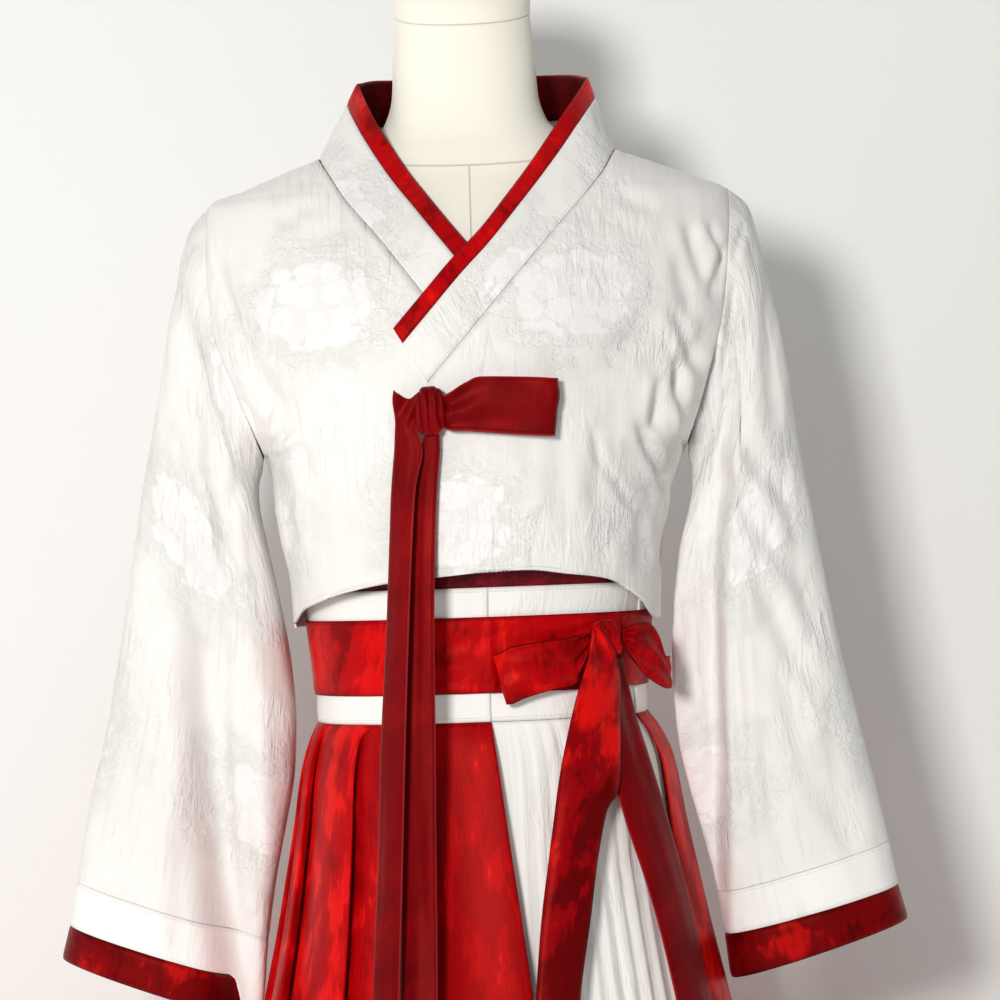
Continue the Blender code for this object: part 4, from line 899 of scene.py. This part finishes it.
def sleeve(side, name):
    """Rings from the armhole to the cuff; the seam is at the inner edge, where each ring ends."""
    turn = np.linspace(-math.pi, math.pi, 121) * 0.9985
    s = np.concatenate([np.linspace(0, 0.12, 36)[:-1], np.linspace(0.12, 1, 176)])
    s = np.sort(np.concatenate([s, [BAND_AT, TRIM_AT]]))
    grid = sleeve_grid(side, s, turn)
    n = grid_normals(grid)
    n *= np.sign(n[120, 60, 0] * side)
    for j, a in enumerate(np.abs(turn)):
        out = armhole_normal(side, np.array(a), -1 if turn[j] >= 0 else 1)
        keep = float(ease((a - 2.5) / 0.6))
        n[0, j] = unit(out * (1 - keep) + np.array([-side, 0, -0.3]) * keep)
    n = unit(n)
    x, z = grid[..., 0], grid[..., 2]
    around, down = run_along(grid, 1), run_along(grid, 0).mean(axis=1, keepdims=True) + 0 * x
    u = around - around[:, 60:61]
    front = (turn >= 0)[None] & np.ones_like(x, bool)
    fold = np.where(front, creases(x, z, SLEEVE_CREASES[side, -1]), creases(x, z, SLEEVE_CREASES[side, 1]))
    swell, crinkle = unevenness(u, down, side, SLEEVE_WAVES)
    fade = ease(s / 0.03)[:, None] * (1 - 0.55 * ease((s - 0.80) / 0.1))[:, None]
    edge_on = np.minimum(1, 0.25 + np.abs(np.sin(turn)))[None]
    grid = grid + n * (fade * edge_on * (fold + swell + crinkle))[..., None]
    down = -down

    def piece(node, lo, hi, look, top, stitch):
        a, b = int(np.argmin(abs(s - lo))), int(np.argmin(abs(s - hi)))
        part = grid[a:b + 1].copy()
        if node == "cuff_band_right":
            # at its inner end the right band hangs down in front of the trim
            lobe = ease((turn - 2.30) / 0.35)
            for j in np.nonzero(lobe)[0]:
                row = a + np.arange(b - a + 1) * (1 + lobe[j] * (len(grid) - 1 - b) / (b - a))
                part[:, j] = np.stack([np.interp(row, np.arange(len(grid)), grid[:, j, k]) for k in range(3)], -1)
            part += n[a:b + 1] * (2.0 * lobe)[None, :, None] * np.linspace(0, 1, b - a + 1)[:, None, None]
        for end, nxt in ((0, 1), (-1, -2)):
            if (end == 0 and lo > 0) or (end == -1 and hi < 1):
                part[end] += unit(part[nxt] - part[end]) * SEAM / 2
        edge = nearest_edge(part, first_u=lo > 0, last_u=hi > BAND_AT)
        puff = top * np.sqrt(np.clip(edge / 4.0, 0, 1)) - top
        part = part + n[a:b + 1] * puff[..., None]
        shell(node, part, n[a:b + 1], CLOTH, look, (u[a:b + 1], down[a:b + 1]), edge, stitch)

    piece("sleeve_" + name, 0, BAND_AT, "jacquard", 0.0, 2.5)
    piece("cuff_band_" + name, BAND_AT, TRIM_AT, "crepe", 0.5, 2.5)
    piece("cuff_trim_" + name, TRIM_AT, 1.0, "trim", 0.7, 2.2)


def collar():
    up = np.linspace(0, 1, 110)
    back = np.linspace(1, 2, 60)[1:]
    stations = [(-1, t) for t in up] + [(-1, t) for t in back] + [(1, t) for t in np.r_[up, back[:-1]][::-1]]
    side = np.array([k for k, _ in stations])
    t = np.array([k for _, k in stations])
    across = np.concatenate([np.linspace(0, TRIM_SHARE, 19), np.linspace(TRIM_SHARE, 1, 10)[1:]])
    grid = np.empty((len(t), len(across), 3))
    for k in (-1, 1):
        rows = side == k
        grid[rows] = np.stack([collar_point(k, t[rows], f) for f in across], 1)
    n = grid_normals(grid)
    n *= -1 if n[len(t) // 2, 5, 1] < 0 else 1
    u = run_along(grid, 0).mean(axis=1, keepdims=True) + 0 * grid[..., 0]
    v = run_along(grid, 1)
    rise = (SEAM + 0.9 * ease((t - 0.5) / 0.35))[:, None]
    along = unit(grid[:, -1] - grid[:, 0])

    def strip(node, first, last, look, lift, stitch, rows=slice(None), inward=0.0, drop=0.0, wave=0.4, puff=0.5):
        part, out = grid[rows, first:last + 1].copy(), n[rows, first:last + 1]
        part[:, 0] += along[rows] * lift[rows]
        part[:, -1] -= along[rows] * drop
        part = part - out * inward
        uu, vv = u[rows, first:last + 1], v[rows, first:last + 1]
        edge = nearest_edge(part, first_v=True, last_v=True)
        push = wave * noise(uu, vv, 26, 13, 50) * ease(edge / 6) + puff * (np.sqrt(np.clip(edge / 3.5, 0, 1)) - 1)
        shell(node, part + out * push[..., None], out, CLOTH, look, (uu, vv), edge, stitch)

    seam, free, flat = 18, len(across) - 1, np.zeros((len(t), 1))
    strip("collar_band", 0, seam, "jacquard", rise, 2.4)
    strip("collar_trim", seam, free, "collar_edge", flat + SEAM, 1.6, wave=0.25, puff=0.8)
    first = int(np.argmax((side < 0) & (t >= FACING_FROM)))
    last = len(t) - int(np.argmax(t[::-1] >= FACING_FROM))
    strip("collar_facing", 9, free, "lining", flat, 2.0, slice(first, last), 1.2 + SEAM, 1.5, 0.0, 0.0)


# ------------------------------------------------------------------ waist and skirts
# x0 z0 x1 z1 wide deep; drawn from the bow, and soft ones across the wearer's right
BELT_CREASES = table("""
    92 -101 22 -113 4 1.5; 92 -104 4 -131 5 1.7; 94 -110 40 -143 4 1.5; 10 -90 12 -150 3 2.6;
    -118 -98 -66 -108 4 1; -116 -132 -72 -121 5 1.1; -12 -108 -56 -119 5 0.9; -14 -140 -60 -133 4 0.8;
    30 -94 72 -98 3 0.9""", 6)


def waist_cloth(node, top, low, out, thick, look, ends=None, stitch=3.0, folds=()):
    first, last = ends or (math.pi - 0.001, -math.pi + 0.001)
    angle = np.linspace(first, last, 300)
    levels = np.linspace(top, low, max(8, int((top - low) / 3.2)))
    grid = np.array([waist_ring(levels, out, a) for a in angle])
    n = grid_normals(grid)
    n *= np.sign((n[:, 2] * grid[:, 2] * (1, 1, 0)).sum(-1).mean())
    u, v = run_along(grid, 0), grid[..., 2]
    edge = nearest_edge(grid, bool(ends), bool(ends), True, True)
    push = 0.35 * (noise(u, v, 21, 16, 61) + 0.6 * noise(u, v, 9, 30, 62)) * ease(edge / 7)
    push -= 0.25 * ease(1 - edge / 1.5)
    if len(folds):
        front = grid[..., 1] < 0
        push = push + front * creases(grid[..., 0], grid[..., 2], folds) * ease(edge / 5)
    shell(node, grid + n * push[..., None], n, thick, look, (-u, v), edge, stitch)


def skirt_cloth(node, rows, crests, look, stitch):
    """A skirt from its level rows of points; `crests` picks lines that face outwards."""
    grid = np.array(rows).swapaxes(0, 1)
    n = grid_normals(grid)
    n *= np.sign((n[crests] * grid[crests] * (1, 1, 0)).sum(-1).mean())
    u, v = run_along(grid, 0), grid[..., 2]
    u = u[:, -1:] * np.ones_like(u)          # the weave runs straight down the pleats
    shell(node, grid, n, CLOTH, look, (u, v), nearest_edge(grid, last_v=True), stitch)


def overskirt():
    first, last = wrap_ends(WAIST_LOW)
    waist = even_angles(OVER_PLEATS, first, last)
    share = np.linspace(0, 1, OVER_PLEATS + 1)
    rng = np.random.default_rng(5)
    crown = rng.uniform(0.4, 1.0, OVER_PLEATS)
    # share of the way across the face, and depth as a share of the pleat's
    face = table("""0 0.05; 0.012 0; 0.04 0; 0.1 0.03; 0.18 0.09; 0.28 0.19; 0.4 0.3; 0.52 0.42; 0.64 0.55;
                 0.76 0.68; 0.88 0.83; 0.97 0.95""", 2)
    levels = np.concatenate([np.linspace(-171.4, -210, 12)[:-1], np.linspace(-210, HEM, 84)])
    rows = []
    for z in levels:
        deep, under, half = map(float, rows_of(SKIRT, "deep under half", z))
        start, end = wrap_ends(z)
        edge = waist + (start - first) * (1 - share) ** 2 + (end - last) * share ** 4
        grow = float(ease((-175 - z) / 150))
        angle, inward = [], []
        for k in range(OVER_PLEATS):
            a, b = edge[k], edge[k + 1]
            tuck = b - (under / (half * 0.85) if k < OVER_PLEATS - 1 else 0)
            # the face bows out a little, most near its middle, and no pleat like its neighbour
            bow = 0.14 * crown[k] * np.sin(np.pi * np.clip(face[:, 0] * 1.1, 0, 1)) * grow
            wave = 0.05 * grow * np.sin(face[:, 0] * 9 + 5 * k + z / 130.0 + 2 * crown[k])
            angle += list(a + (b - a) * face[:, 0] * min(1.0, (tuck - a) / (b - a) / 0.97))
            inward += list(deep * np.clip(face[:, 1] - bow + wave * face[:, 1], 0, 1))
            if k < OVER_PLEATS - 1:
                angle += [tuck, tuck + (b - tuck) * 0.12, tuck + (b - tuck) * 0.55, tuck + (b - tuck) * 0.92]
                inward += [deep, deep * 0.96, deep * 0.60, deep * 0.16]
            else:
                angle += [b]
                inward += [deep]
        xy = skirt_xy(z, np.array(angle), np.array(inward) + CLOTH / 2 + 0.2)
        rows.append(np.column_stack([xy, np.full(len(xy), z)]))
    skirt_cloth("overskirt", rows, slice(2, 3), "skirt", 4.0)


def underskirt():
    ang = even_angles(UNDER_PLEATS, -math.pi + 0.001, math.pi - 0.001)
    per = 7
    spot = np.arange(UNDER_PLEATS * per + 1) / per
    angle = np.interp(spot, np.arange(UNDER_PLEATS + 1), ang)
    levels = np.concatenate([np.linspace(-171.4, -215, 14)[:-1], np.linspace(-215, HEM + 10, 64)])
    rows = []
    for z in levels:
        inset, fine = float(row_of(SKIRT, "inset", z)), float(row_of(SKIRT, "fine", z))
        drop = (-171 - z)
        sway = 0.34 * noise(spot * 10, drop + 0 * spot, 23, 260, 71) * ease(drop / 160)
        size = 0.62 + 0.38 * noise(spot * 10, drop + 0 * spot, 31, 300, 72)
        fold = (0.5 - 0.5 * np.cos(2 * np.pi * (spot + sway))) ** 0.8 * size
        small = 0.14 * (0.5 + 0.5 * np.sin(2 * np.pi * (2.3 * spot + 2 * sway) + 1.0))
        xy = skirt_xy(z, angle, inset + CLOTH / 2 + 0.2 + fine * np.clip(0.18 + fold * 0.58 + small, 0, 1))
        rows.append(np.column_stack([xy, np.full(len(xy), z)]))
    skirt_cloth("underskirt", rows, slice(None, None, per), "crepe", 20.0)




# ------------------------------------------------------------------ ties and bow
def ribbon_across(points, across):
    """Rows of (left, middle, right) points turned into finer rows."""
    left, mid, right = points[:, 0], points[:, 1], points[:, 2]
    f = across[None, :, None]
    line = left[:, None] * (1 - f) + right[:, None] * f
    return line + 4 * f * (1 - f) * (mid - (left + right) / 2)[:, None]


def hanging(node, tab, look, seed, curl=0.8, gather=None):
    """A hanging end from a table of its edges; gather = (lowest z, reach, dip, slant) draws its top to a knot."""
    rows = []
    fine = {k: through(values, 170) for k, values in tab.items()}
    for i, z in enumerate(fine["z"]):
        left, right = fine["left"][i], fine["right"][i]
        mid = (left + right) / 2
        if "out" in fine:
            out, round_up = fine["out"][i], 2.5 * min(1, (right - left) / 30)
            ly, my, ry = (skirt_front(x, z, o) for x, o in ((left, out), (mid, out + round_up), (right, out)))
        else:
            ly, ry = fine["left_y"][i], fine["right_y"][i]
            my = (ly + ry) / 2 - 1.5
        rows.append([(left, ly, z), (mid, my, z), (right, ry, z)])
    across = np.linspace(0, 1, 19)
    grid = ribbon_across(np.array(rows), across)
    folds = 0
    if gather:
        start, reach, dip, slant = gather
        top = grid[0, 0, 2]
        drawn = ease((grid[..., 2] - start) / (top - start))
        folds = 2.4 * drawn * np.sin(8.5 * across + slant * (top - grid[..., 2]))
        grid[..., 0] += drawn * reach * across ** 1.5
        grid[..., 2] -= drawn * dip * np.sin(np.pi * 0.86 * across) ** 1.5
    n = grid_normals(grid)
    n *= -np.sign(n[80, 9, 1])
    u, v = run_along(grid, 1), grid[..., 2]
    u = u - u[:, 9:10]
    edge = nearest_edge(grid, False, True, True, True)
    wide = u[:, -1:] - u[:, :1]
    push = noise(u * 1.6, v, 16, 90, seed) + 0.4 * noise(u * 2, v, 9, 150, seed + 1)
    push = curl * push * np.minimum(1, wide / 20)
    puff = 0.45 * (np.sqrt(np.clip(edge / 2.5, 0, 1)) - 1)
    shell(node, grid + n * (push + puff + folds)[..., None], n, SATIN, look, (u, v), edge, 2.2)


def bow_loop(node, top, low, look, seed, pinch, folds):
    """A strip out along its front, round its far fold and back behind; top and low are rows of
    (x, front y, back y, z) from the knot out."""
    top, low = np.array(top, float), np.array(low, float)
    out, home = range(len(top)), range(len(top) - 1, -1, -1)
    path = [(top[i, [0, 1, 3]], low[i, [0, 1, 3]]) for i in out]
    reach = np.array([3.2 * np.sign(top[-1, 0] - top[0, 0]), 0, 0])
    path.append(tuple(np.array([k[0], (k[1] + k[2]) / 2, k[3]]) + reach for k in (top[-1], low[-1])))
    path += [(top[i, [0, 2, 3]], low[i, [0, 2, 3]]) for i in home]
    fine = through(np.array(path), 150)
    across = np.linspace(0, 1, 27)[None, :, None]
    grid = fine[:, :1] * (1 - across) + fine[:, 1:] * across
    n = grid_normals(grid)
    n *= -np.sign(n[20, 13, 1])
    run = run_along(grid, 0).mean(axis=1, keepdims=True)
    far = np.minimum(run, run[-1] - run)
    share = across[..., 0]
    fan = np.sin(2 * np.pi * folds * share + 1.1 + 0.03 * far) * np.exp(-far / 30) * ease(far / 2)
    fan = fan * (0.45 + 0.55 * (run < run[-1] / 2))
    crown = np.sin(np.pi * share) * np.sin(np.pi * run / run[-1]) ** 0.5
    u, v = run + 0 * grid[..., 0], run_along(grid, 1)
    edge = nearest_edge(grid, first_v=True, last_v=True)
    push = pinch * fan + 0.8 * crown + 0.9 * noise(u, v, 19, 13, seed) * ease(far / 10)
    shell(node, grid + n * push[..., None], n, SATIN, look, (u, v), edge, 2.4)


def knot(node, centre, size, look, turn, square, wraps, lean):
    """A tied knot: a rounded block whose cloth is gathered in curving folds."""
    rings, around = 64, 96
    v = np.linspace(-1, 1, rings) * math.pi / 2 * 0.9
    a = np.arange(around) * 2 * math.pi / around
    vv, aa = np.meshgrid(v, a, indexing="ij")

    def power(value, p):
        return np.sign(value) * np.abs(value) ** p

    level = np.cos(vv) ** square
    pts = np.stack([size[0] * level * power(np.cos(aa), square), size[1] * level * power(np.sin(aa), square),
                    size[2] * power(np.sin(vv), square)], -1)
    # folds run over the knot from top to bottom, leaning and narrowing towards the ends
    phase = wraps * pts[..., 0] / size[0] + lean * np.sin(vv * 1.3)
    phase += 0.6 * noise(pts[..., 0] + 50, pts[..., 2] + 50, 7, 9, 81)
    folds = 1 - np.abs(np.sin(phase)) ** 0.7
    lift = -3.4 * folds * np.cos(vv) ** 0.4
    pts = pts * (1 + (lift / min(size))[..., None] * np.array([0.35, 1.0, 0.25]))
    c, s = math.cos(turn), math.sin(turn)
    pts = np.stack([pts[..., 0] * c - pts[..., 1] * s, pts[..., 0] * s + pts[..., 1] * c, pts[..., 2]], -1)
    place = (pts[..., 0], pts[..., 2], np.full(pts.shape[:2], 30.0))
    solid_rings("cloth_" + node, pts + np.array(centre), look, place, node)


def ties():
    knot("tie_knot", (-33.4, -147.0, 66.8), (11.6, 9.4, 19.0), "ribbon", 0.0, 0.66, 5.0, 0.9)
    bow_loop("tie_loop", table("""-24.5 -148.5 -142.2 76; -17 -151.5 -141.2 81; -6 -151.5 -140.2 87.5;
                               6 -151.5 -140.2 91.5; 43 -151.5 -140.2 90; 61 -150.5 -141.2 88.5""", 4),
             table("""-24.5 -148.5 -142.2 54; -17 -151.5 -141.2 51.5; -6 -151.5 -140.2 51; 4 -151.5 -140.2 50;
                   30 -151.5 -140.2 47.2; 57 -150.5 -141.2 45""", 4), "ribbon", 84, 1.7, 1.8)
    hanging("tie_tail_front", CHEST_TAIL_FRONT, "ribbon", 86, gather=(44.0, 4.2, 7.0, 0.167))
    hanging("tie_tail_back", CHEST_TAIL_BACK, "ribbon", 88)


def belt_bow():
    knot("bow_knot", (95.0, skirt_front(95.0, -110, 0) - 8.0, -110.5), (14.0, 6.6, 14.5), "red_satin",
         0.55, 0.62, 3.2, 1.5)
    # x, height, and how far the loop's front and back lie in front of the belt
    top = [(81.0, -105, 11, 5), (69, -108, 13, 3.2), (42, -111, 13, 1.6), (22, -114, 12, 1.6), (11, -119, 10, 2.6)]
    low = [(81.0, -116, 11, 5), (70, -144, 13, 3), (48, -148.6, 13, 1.8), (30, -153.5, 12, 3), (20, -157.5, 11, 4)]
    sides = [[(x, skirt_front(x, max(z, -148.5), f), skirt_front(x, max(z, -148.5), b), z) for x, z, f, b in row]
             for row in (top, low)]
    bow_loop("bow_loop_right", *sides, "red_satin", 90, 3.4, 2.6)
    bow_loop("bow_loop_left", table("""108.5 -88 -82 -104; 117.5 -87 -71 -101; 126 -82 -62 -99.5;
                                    134 -73 -57 -108; 141.3 -66 -55 -127""", 4),
             table("108.5 -88 -82 -116; 115 -88 -74 -127; 121 -85 -68 -136; 131 -78 -62 -146; 141.5 -68 -57 -152", 4),
             "red_satin", 92, 3.0, 2.2)
    hanging("bow_tail_right", BOW_TAIL_OVER, "bow_tail", 94, 1.0, (-172.0, 0.0, 0.0, 0.02))
    hanging("bow_tail_left", BOW_TAIL_UNDER, "ribbon", 96)


# ------------------------------------------------------------------ dress form and stand
def form_ring(z, angle, grow=0.0, lift=0.0):
    points = waist_ring(z, grow, angle, curved=z >= BODICE_TOP)
    points[:, 2] += NECK_TILT * (points[:, 1] - 10) * float(ease((z - 335) / 55)) + lift
    return points


def form():
    angle = np.linspace(-math.pi, math.pi, 144, endpoint=False)
    levels = np.concatenate([np.linspace(-380, 40, 60), np.linspace(40, 394, 150)[1:]])
    rings = np.array([form_ring(z, angle) for z in levels])
    u = np.arctan2(rings[..., 0], -rings[..., 1]) * 60
    # the neck's cover is sewn to the shoulders' along a curve that rises to the nape
    seam = 262 + 13 * np.sin(angle) ** 2 + 14 * (1 - np.cos(angle)) / 2
    place = (np.where(np.abs(angle) < 1.2, rings[..., 0], u), rings[..., 2], (rings[..., 2] - seam[None]) * MM)
    solid_rings("jersey_torso", rings, "jersey", place, "form_torso")
    cap = []
    for t in np.linspace(0, 1, 26):
        lift = np.interp(t, (0, 0.28, 0.55, 0.8, 1), (SEAM, 10, 20, 28, 33))
        grow = float(smooth_curve((0, 0.28, 0.55, 0.8, 1), (0.4, 0.9, -0.5, -7, -22), t))
        cap.append(form_ring(394.0, angle, grow, lift))
    cap = np.array(cap)
    place = (np.arctan2(cap[..., 0], -cap[..., 1]) * 57, cap[..., 2], np.full(cap.shape[:2], 1.0))
    solid_rings("jersey_neck_cap", cap, "jersey", place, "form_neck_cap")


def lathe(name, outline, node):
    """A turned metal piece round the pole's axis; outline = (radius, height over the floor)."""
    steps = 120
    angle = np.arange(steps) * 2 * math.pi / steps
    rings = np.array([np.stack([r * np.cos(angle), r * np.sin(angle), np.full(steps, z - DATUM)], -1)
                      for r, z in outline])
    place = (rings[..., 0], rings[..., 1], np.full(rings.shape[:2], 50.0))
    obj = solid_rings(name, rings, "paint", place, node)
    obj.data.set_sharp_from_angle(angle=math.radians(50))


def rounded(corners, radius, steps=5):
    """An outline with each inner corner turned on a small radius."""
    corners = [np.array(c, float) for c in corners]
    line = [corners[0]]
    for before, at, after in zip(corners, corners[1:], corners[2:]):
        a = at + unit(before - at) * min(radius, np.linalg.norm(before - at) * 0.45)
        b = at + unit(after - at) * min(radius, np.linalg.norm(after - at) * 0.45)
        for t in np.linspace(0, 1, steps):
            line.append(a * (1 - t) ** 2 + at * 2 * t * (1 - t) + b * t * t)
    return line + [corners[-1]]


def stand():
    low, r = BASE_THICK, BASE_RADIUS
    base = [(1, low + 22), (26, low + 22), (34, low + 5), (r - 5, low), (r, low - 4), (r, 2), (r - 2, 0), (1, 0)]
    lathe("metal_base", rounded(base, 3.0)[::-1], "stand_base")
    foot, top = BASE_THICK + 22 + SEAM, DATUM + FORM["z"][0] - SEAM
    pole = [(1, foot), (POLE_RADIUS, foot), (POLE_RADIUS, top), (1, top)]
    lathe("metal_pole", rounded(pole, 0.8), "stand_pole")


# ------------------------------------------------------------------ sewing
def sewing():
    """Lines of stitching along hems and bands, laid on the finished cloth."""
    def on_cloth(node, rows, cols):
        _, mid, n = MADE[node]
        return (mid + n * (CLOTH / 2 + 0.1))[rows, cols].reshape(-1, 3), n[rows, cols].reshape(-1, 3)

    def line_at(node, distance, axis=1, last=False):
        """The grid line of a piece that lies nearest a distance in from its first or last edge."""
        run = run_along(MADE[node][1], axis).mean(axis=1 - axis)
        return int(np.argmin(abs((run[-1] - run if last else run) - distance)))

    for node in ("cuff_band_left", "cuff_band_right"):
        stitches("stitching_" + node, *on_cloth(node, line_at(node, 2.5, axis=0), slice(None)))
    for node in ("overskirt_waistband", "underskirt_waistband"):
        for last, word in ((False, "top"), (True, "low")):
            stitches(f"stitching_{node}_{word}", *on_cloth(node, slice(None), line_at(node, 2.6, last=last)))
    for node in ("jacket_body_left", "jacket_body_right"):
        mid = MADE[node][1]
        for end, step, word in ((0, 1, "front"), (-1, -1, "back")):
            k = end + step * int(round(HEM_STITCH / np.linalg.norm(mid[end + step, 30] - mid[end, 30])))
            stitches(f"stitching_{node}_{word}_hem", *on_cloth(node, k, slice(1, -1)))


# ------------------------------------------------------------------ setting
# The wall's distance, the radius at its foot, half its width and its height; the floor's front end.
WALL_Y, FOOT_RADIUS, HALF_WIDTH, WALL_TOP, FLOOR_END = 0.315, 0.02, 7.0, 5.0, -6.0
BACKFACING = 6                           # that output of the Geometry node
# Each light: name, place, what it faces, width, height, power and colour.
LIGHTS = (("key", (-0.72, -2.83, 1.64), (0, 0, 1.2), 0.45, 0.45, 58, (1.0, 0.985, 0.965)),
          ("fill", (-2.4, -1.0, 1.3), (0, 0, 1.1), 0.8, 1.8, 7, (1.0, 0.98, 0.96)))
SKY, SKY_STRENGTH = (0.965, 0.985, 0.955, 1), 0.32
CAMERA_AT, CAMERA_AIM, CAMERA_ROLL = (0.0168, -2.5, 1.150), (0.0168, 0, 1.182), -2
SENSOR, LENS = 36, 112.5


def backdrop():
    """A pale floor that curves up into a wall close behind; from behind, the wall lets the view through."""
    radius = FOOT_RADIUS
    bend = [(WALL_Y - radius + radius * math.sin(a), radius - radius * math.cos(a))
            for a in np.linspace(0, math.pi / 2, 16)]
    line = [(FLOOR_END, 0.0)] + bend + [(WALL_Y, WALL_TOP)]
    points = [(x, y, z - 0.5 * MM) for x in (-HALF_WIDTH, HALF_WIDTH) for y, z in line]
    k = len(line)
    faces = [(i, i + k, i + k + 1, i + 1) for i in range(k - 1)]
    mesh = bpy.data.meshes.new("backdrop")
    mesh.from_pydata(points, [], faces)
    mesh.polygons.foreach_set("use_smooth", [True] * len(faces))
    material = Finish("pale_backdrop", Base_Color=(0.908, 0.905, 0.893, 1), Roughness=0.9).material
    tree = material.node_tree
    both = add_node(tree, "MixShader", add_node(tree, "NewGeometry", out=BACKFACING),
                    Value(tree.nodes["Principled BSDF"].outputs[0]), add_node(tree, "BsdfTransparent"))
    tree.links.new(both.socket, tree.nodes["Material Output"].inputs[0])
    mesh.materials.append(material)
    placed("backdrop", mesh)


def facing(place, towards):
    """The rotation of a light or camera that looks from one place to another."""
    return (Vector(towards) - Vector(place)).to_track_quat("-Z", "Y")


def lights_and_camera():
    scene = bpy.context.scene
    scene.world = bpy.data.worlds.new("pale_studio")
    scene.world.use_nodes = True
    sky = scene.world.node_tree.nodes["Background"].inputs
    sky[0].default_value, sky[1].default_value = SKY, SKY_STRENGTH
    scene.view_settings.view_transform = "Standard"
    for name, place, towards, wide, high, power, colour in LIGHTS:
        data = bpy.data.lights.new(name, "AREA")
        data.shape, data.size, data.size_y = "RECTANGLE", wide, high
        data.energy, data.color = power, colour
        light = placed(name, data)
        light.location, light.rotation_euler = place, facing(place, towards).to_euler()
    camera = bpy.data.cameras.new("camera")
    camera.sensor_width, camera.lens = SENSOR, LENS
    scene.camera = placed("camera", camera)
    turn = facing(CAMERA_AT, CAMERA_AIM).to_matrix().to_4x4()
    roll = Matrix.Rotation(math.radians(CAMERA_ROLL), 4, "Z")
    scene.camera.matrix_world = Matrix.Translation(CAMERA_AT) @ turn @ roll


# Each sheet of cloth: its flat width and length and its flat area (metres, square metres), as far as it shows and
# all round where it is a tube; how it is held; and what it rests on.
CUTS = """
jacket_body_left 0.292 1.003 0.17 draped form_torso collar_band
jacket_body_right 0.292 1.003 0.171 draped form_torso collar_band
sleeve_left 0.496 0.545 0.154 hung jacket_body_left
sleeve_right 0.504 0.555 0.166 hung jacket_body_right
cuff_band_left 0.371 0.036 0.0126 hung sleeve_left
cuff_band_right 0.403 0.037 0.0141 hung sleeve_right
cuff_trim_left 0.38 0.036 0.0118 hung cuff_band_left
cuff_trim_right 0.407 0.032 0.0116 hung cuff_band_right
collar_band 0.906 0.051 0.0341 draped jacket_body_left jacket_body_right
collar_trim 0.873 0.021 0.0131 draped collar_band
collar_facing 0.405 0.045 0.0139 draped collar_band
tie_loop 0.192 0.045 0.0073 folded tie_knot
tie_tail_front 0.025 0.71 0.0168 hung tie_knot
tie_tail_back 0.034 0.745 0.0216 hung tie_knot
bodice 0.872 0.138 0.109 stretched form_torso
underskirt_waistband 0.764 0.103 0.077 stretched bodice
overskirt_waistband 0.638 0.103 0.0642 laid underskirt_waistband
belt 0.777 0.06 0.0452 stretched overskirt_waistband
underskirt 1.836 0.927 1.17 gathered underskirt_waistband
overskirt 2.173 0.949 1.366 gathered overskirt_waistband
bow_loop_right 0.18 0.04 0.0059 folded bow_knot
bow_loop_left 0.126 0.044 0.0037 folded bow_knot
bow_tail_right 0.053 0.53 0.0194 hung bow_knot
bow_tail_left 0.05 0.483 0.0211 hung bow_knot
"""


def declare():
    for line in CUTS.strip().splitlines():
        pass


def main():
    form()
    stand()
    for side, name in ((1, "left"), (-1, "right")):
        jacket_body(side, "jacket_body_" + name)
        sleeve(side, name)
    collar()
    ties()
    waist_cloth("bodice", BODICE_TOP, BODICE_LOW, 0.9, 0.8, "burgundy")
    waist_cloth("underskirt_waistband", WAIST_TOP, WAIST_LOW, 2.4, SATIN, "crepe")
    waist_cloth("overskirt_waistband", WAIST_TOP, WAIST_LOW, 4.0, SATIN, "crepe", wrap_ends(WAIST_LOW))
    waist_cloth("belt", BELT_TOP, BELT_LOW, BELT_OUT + BELT_CLOTH / 2, CLOTH, "red_satin", None, 2.5, BELT_CREASES)
    underskirt()
    overskirt()
    belt_bow()
    sewing()
    declare()
    backdrop()
    lights_and_camera()


main()
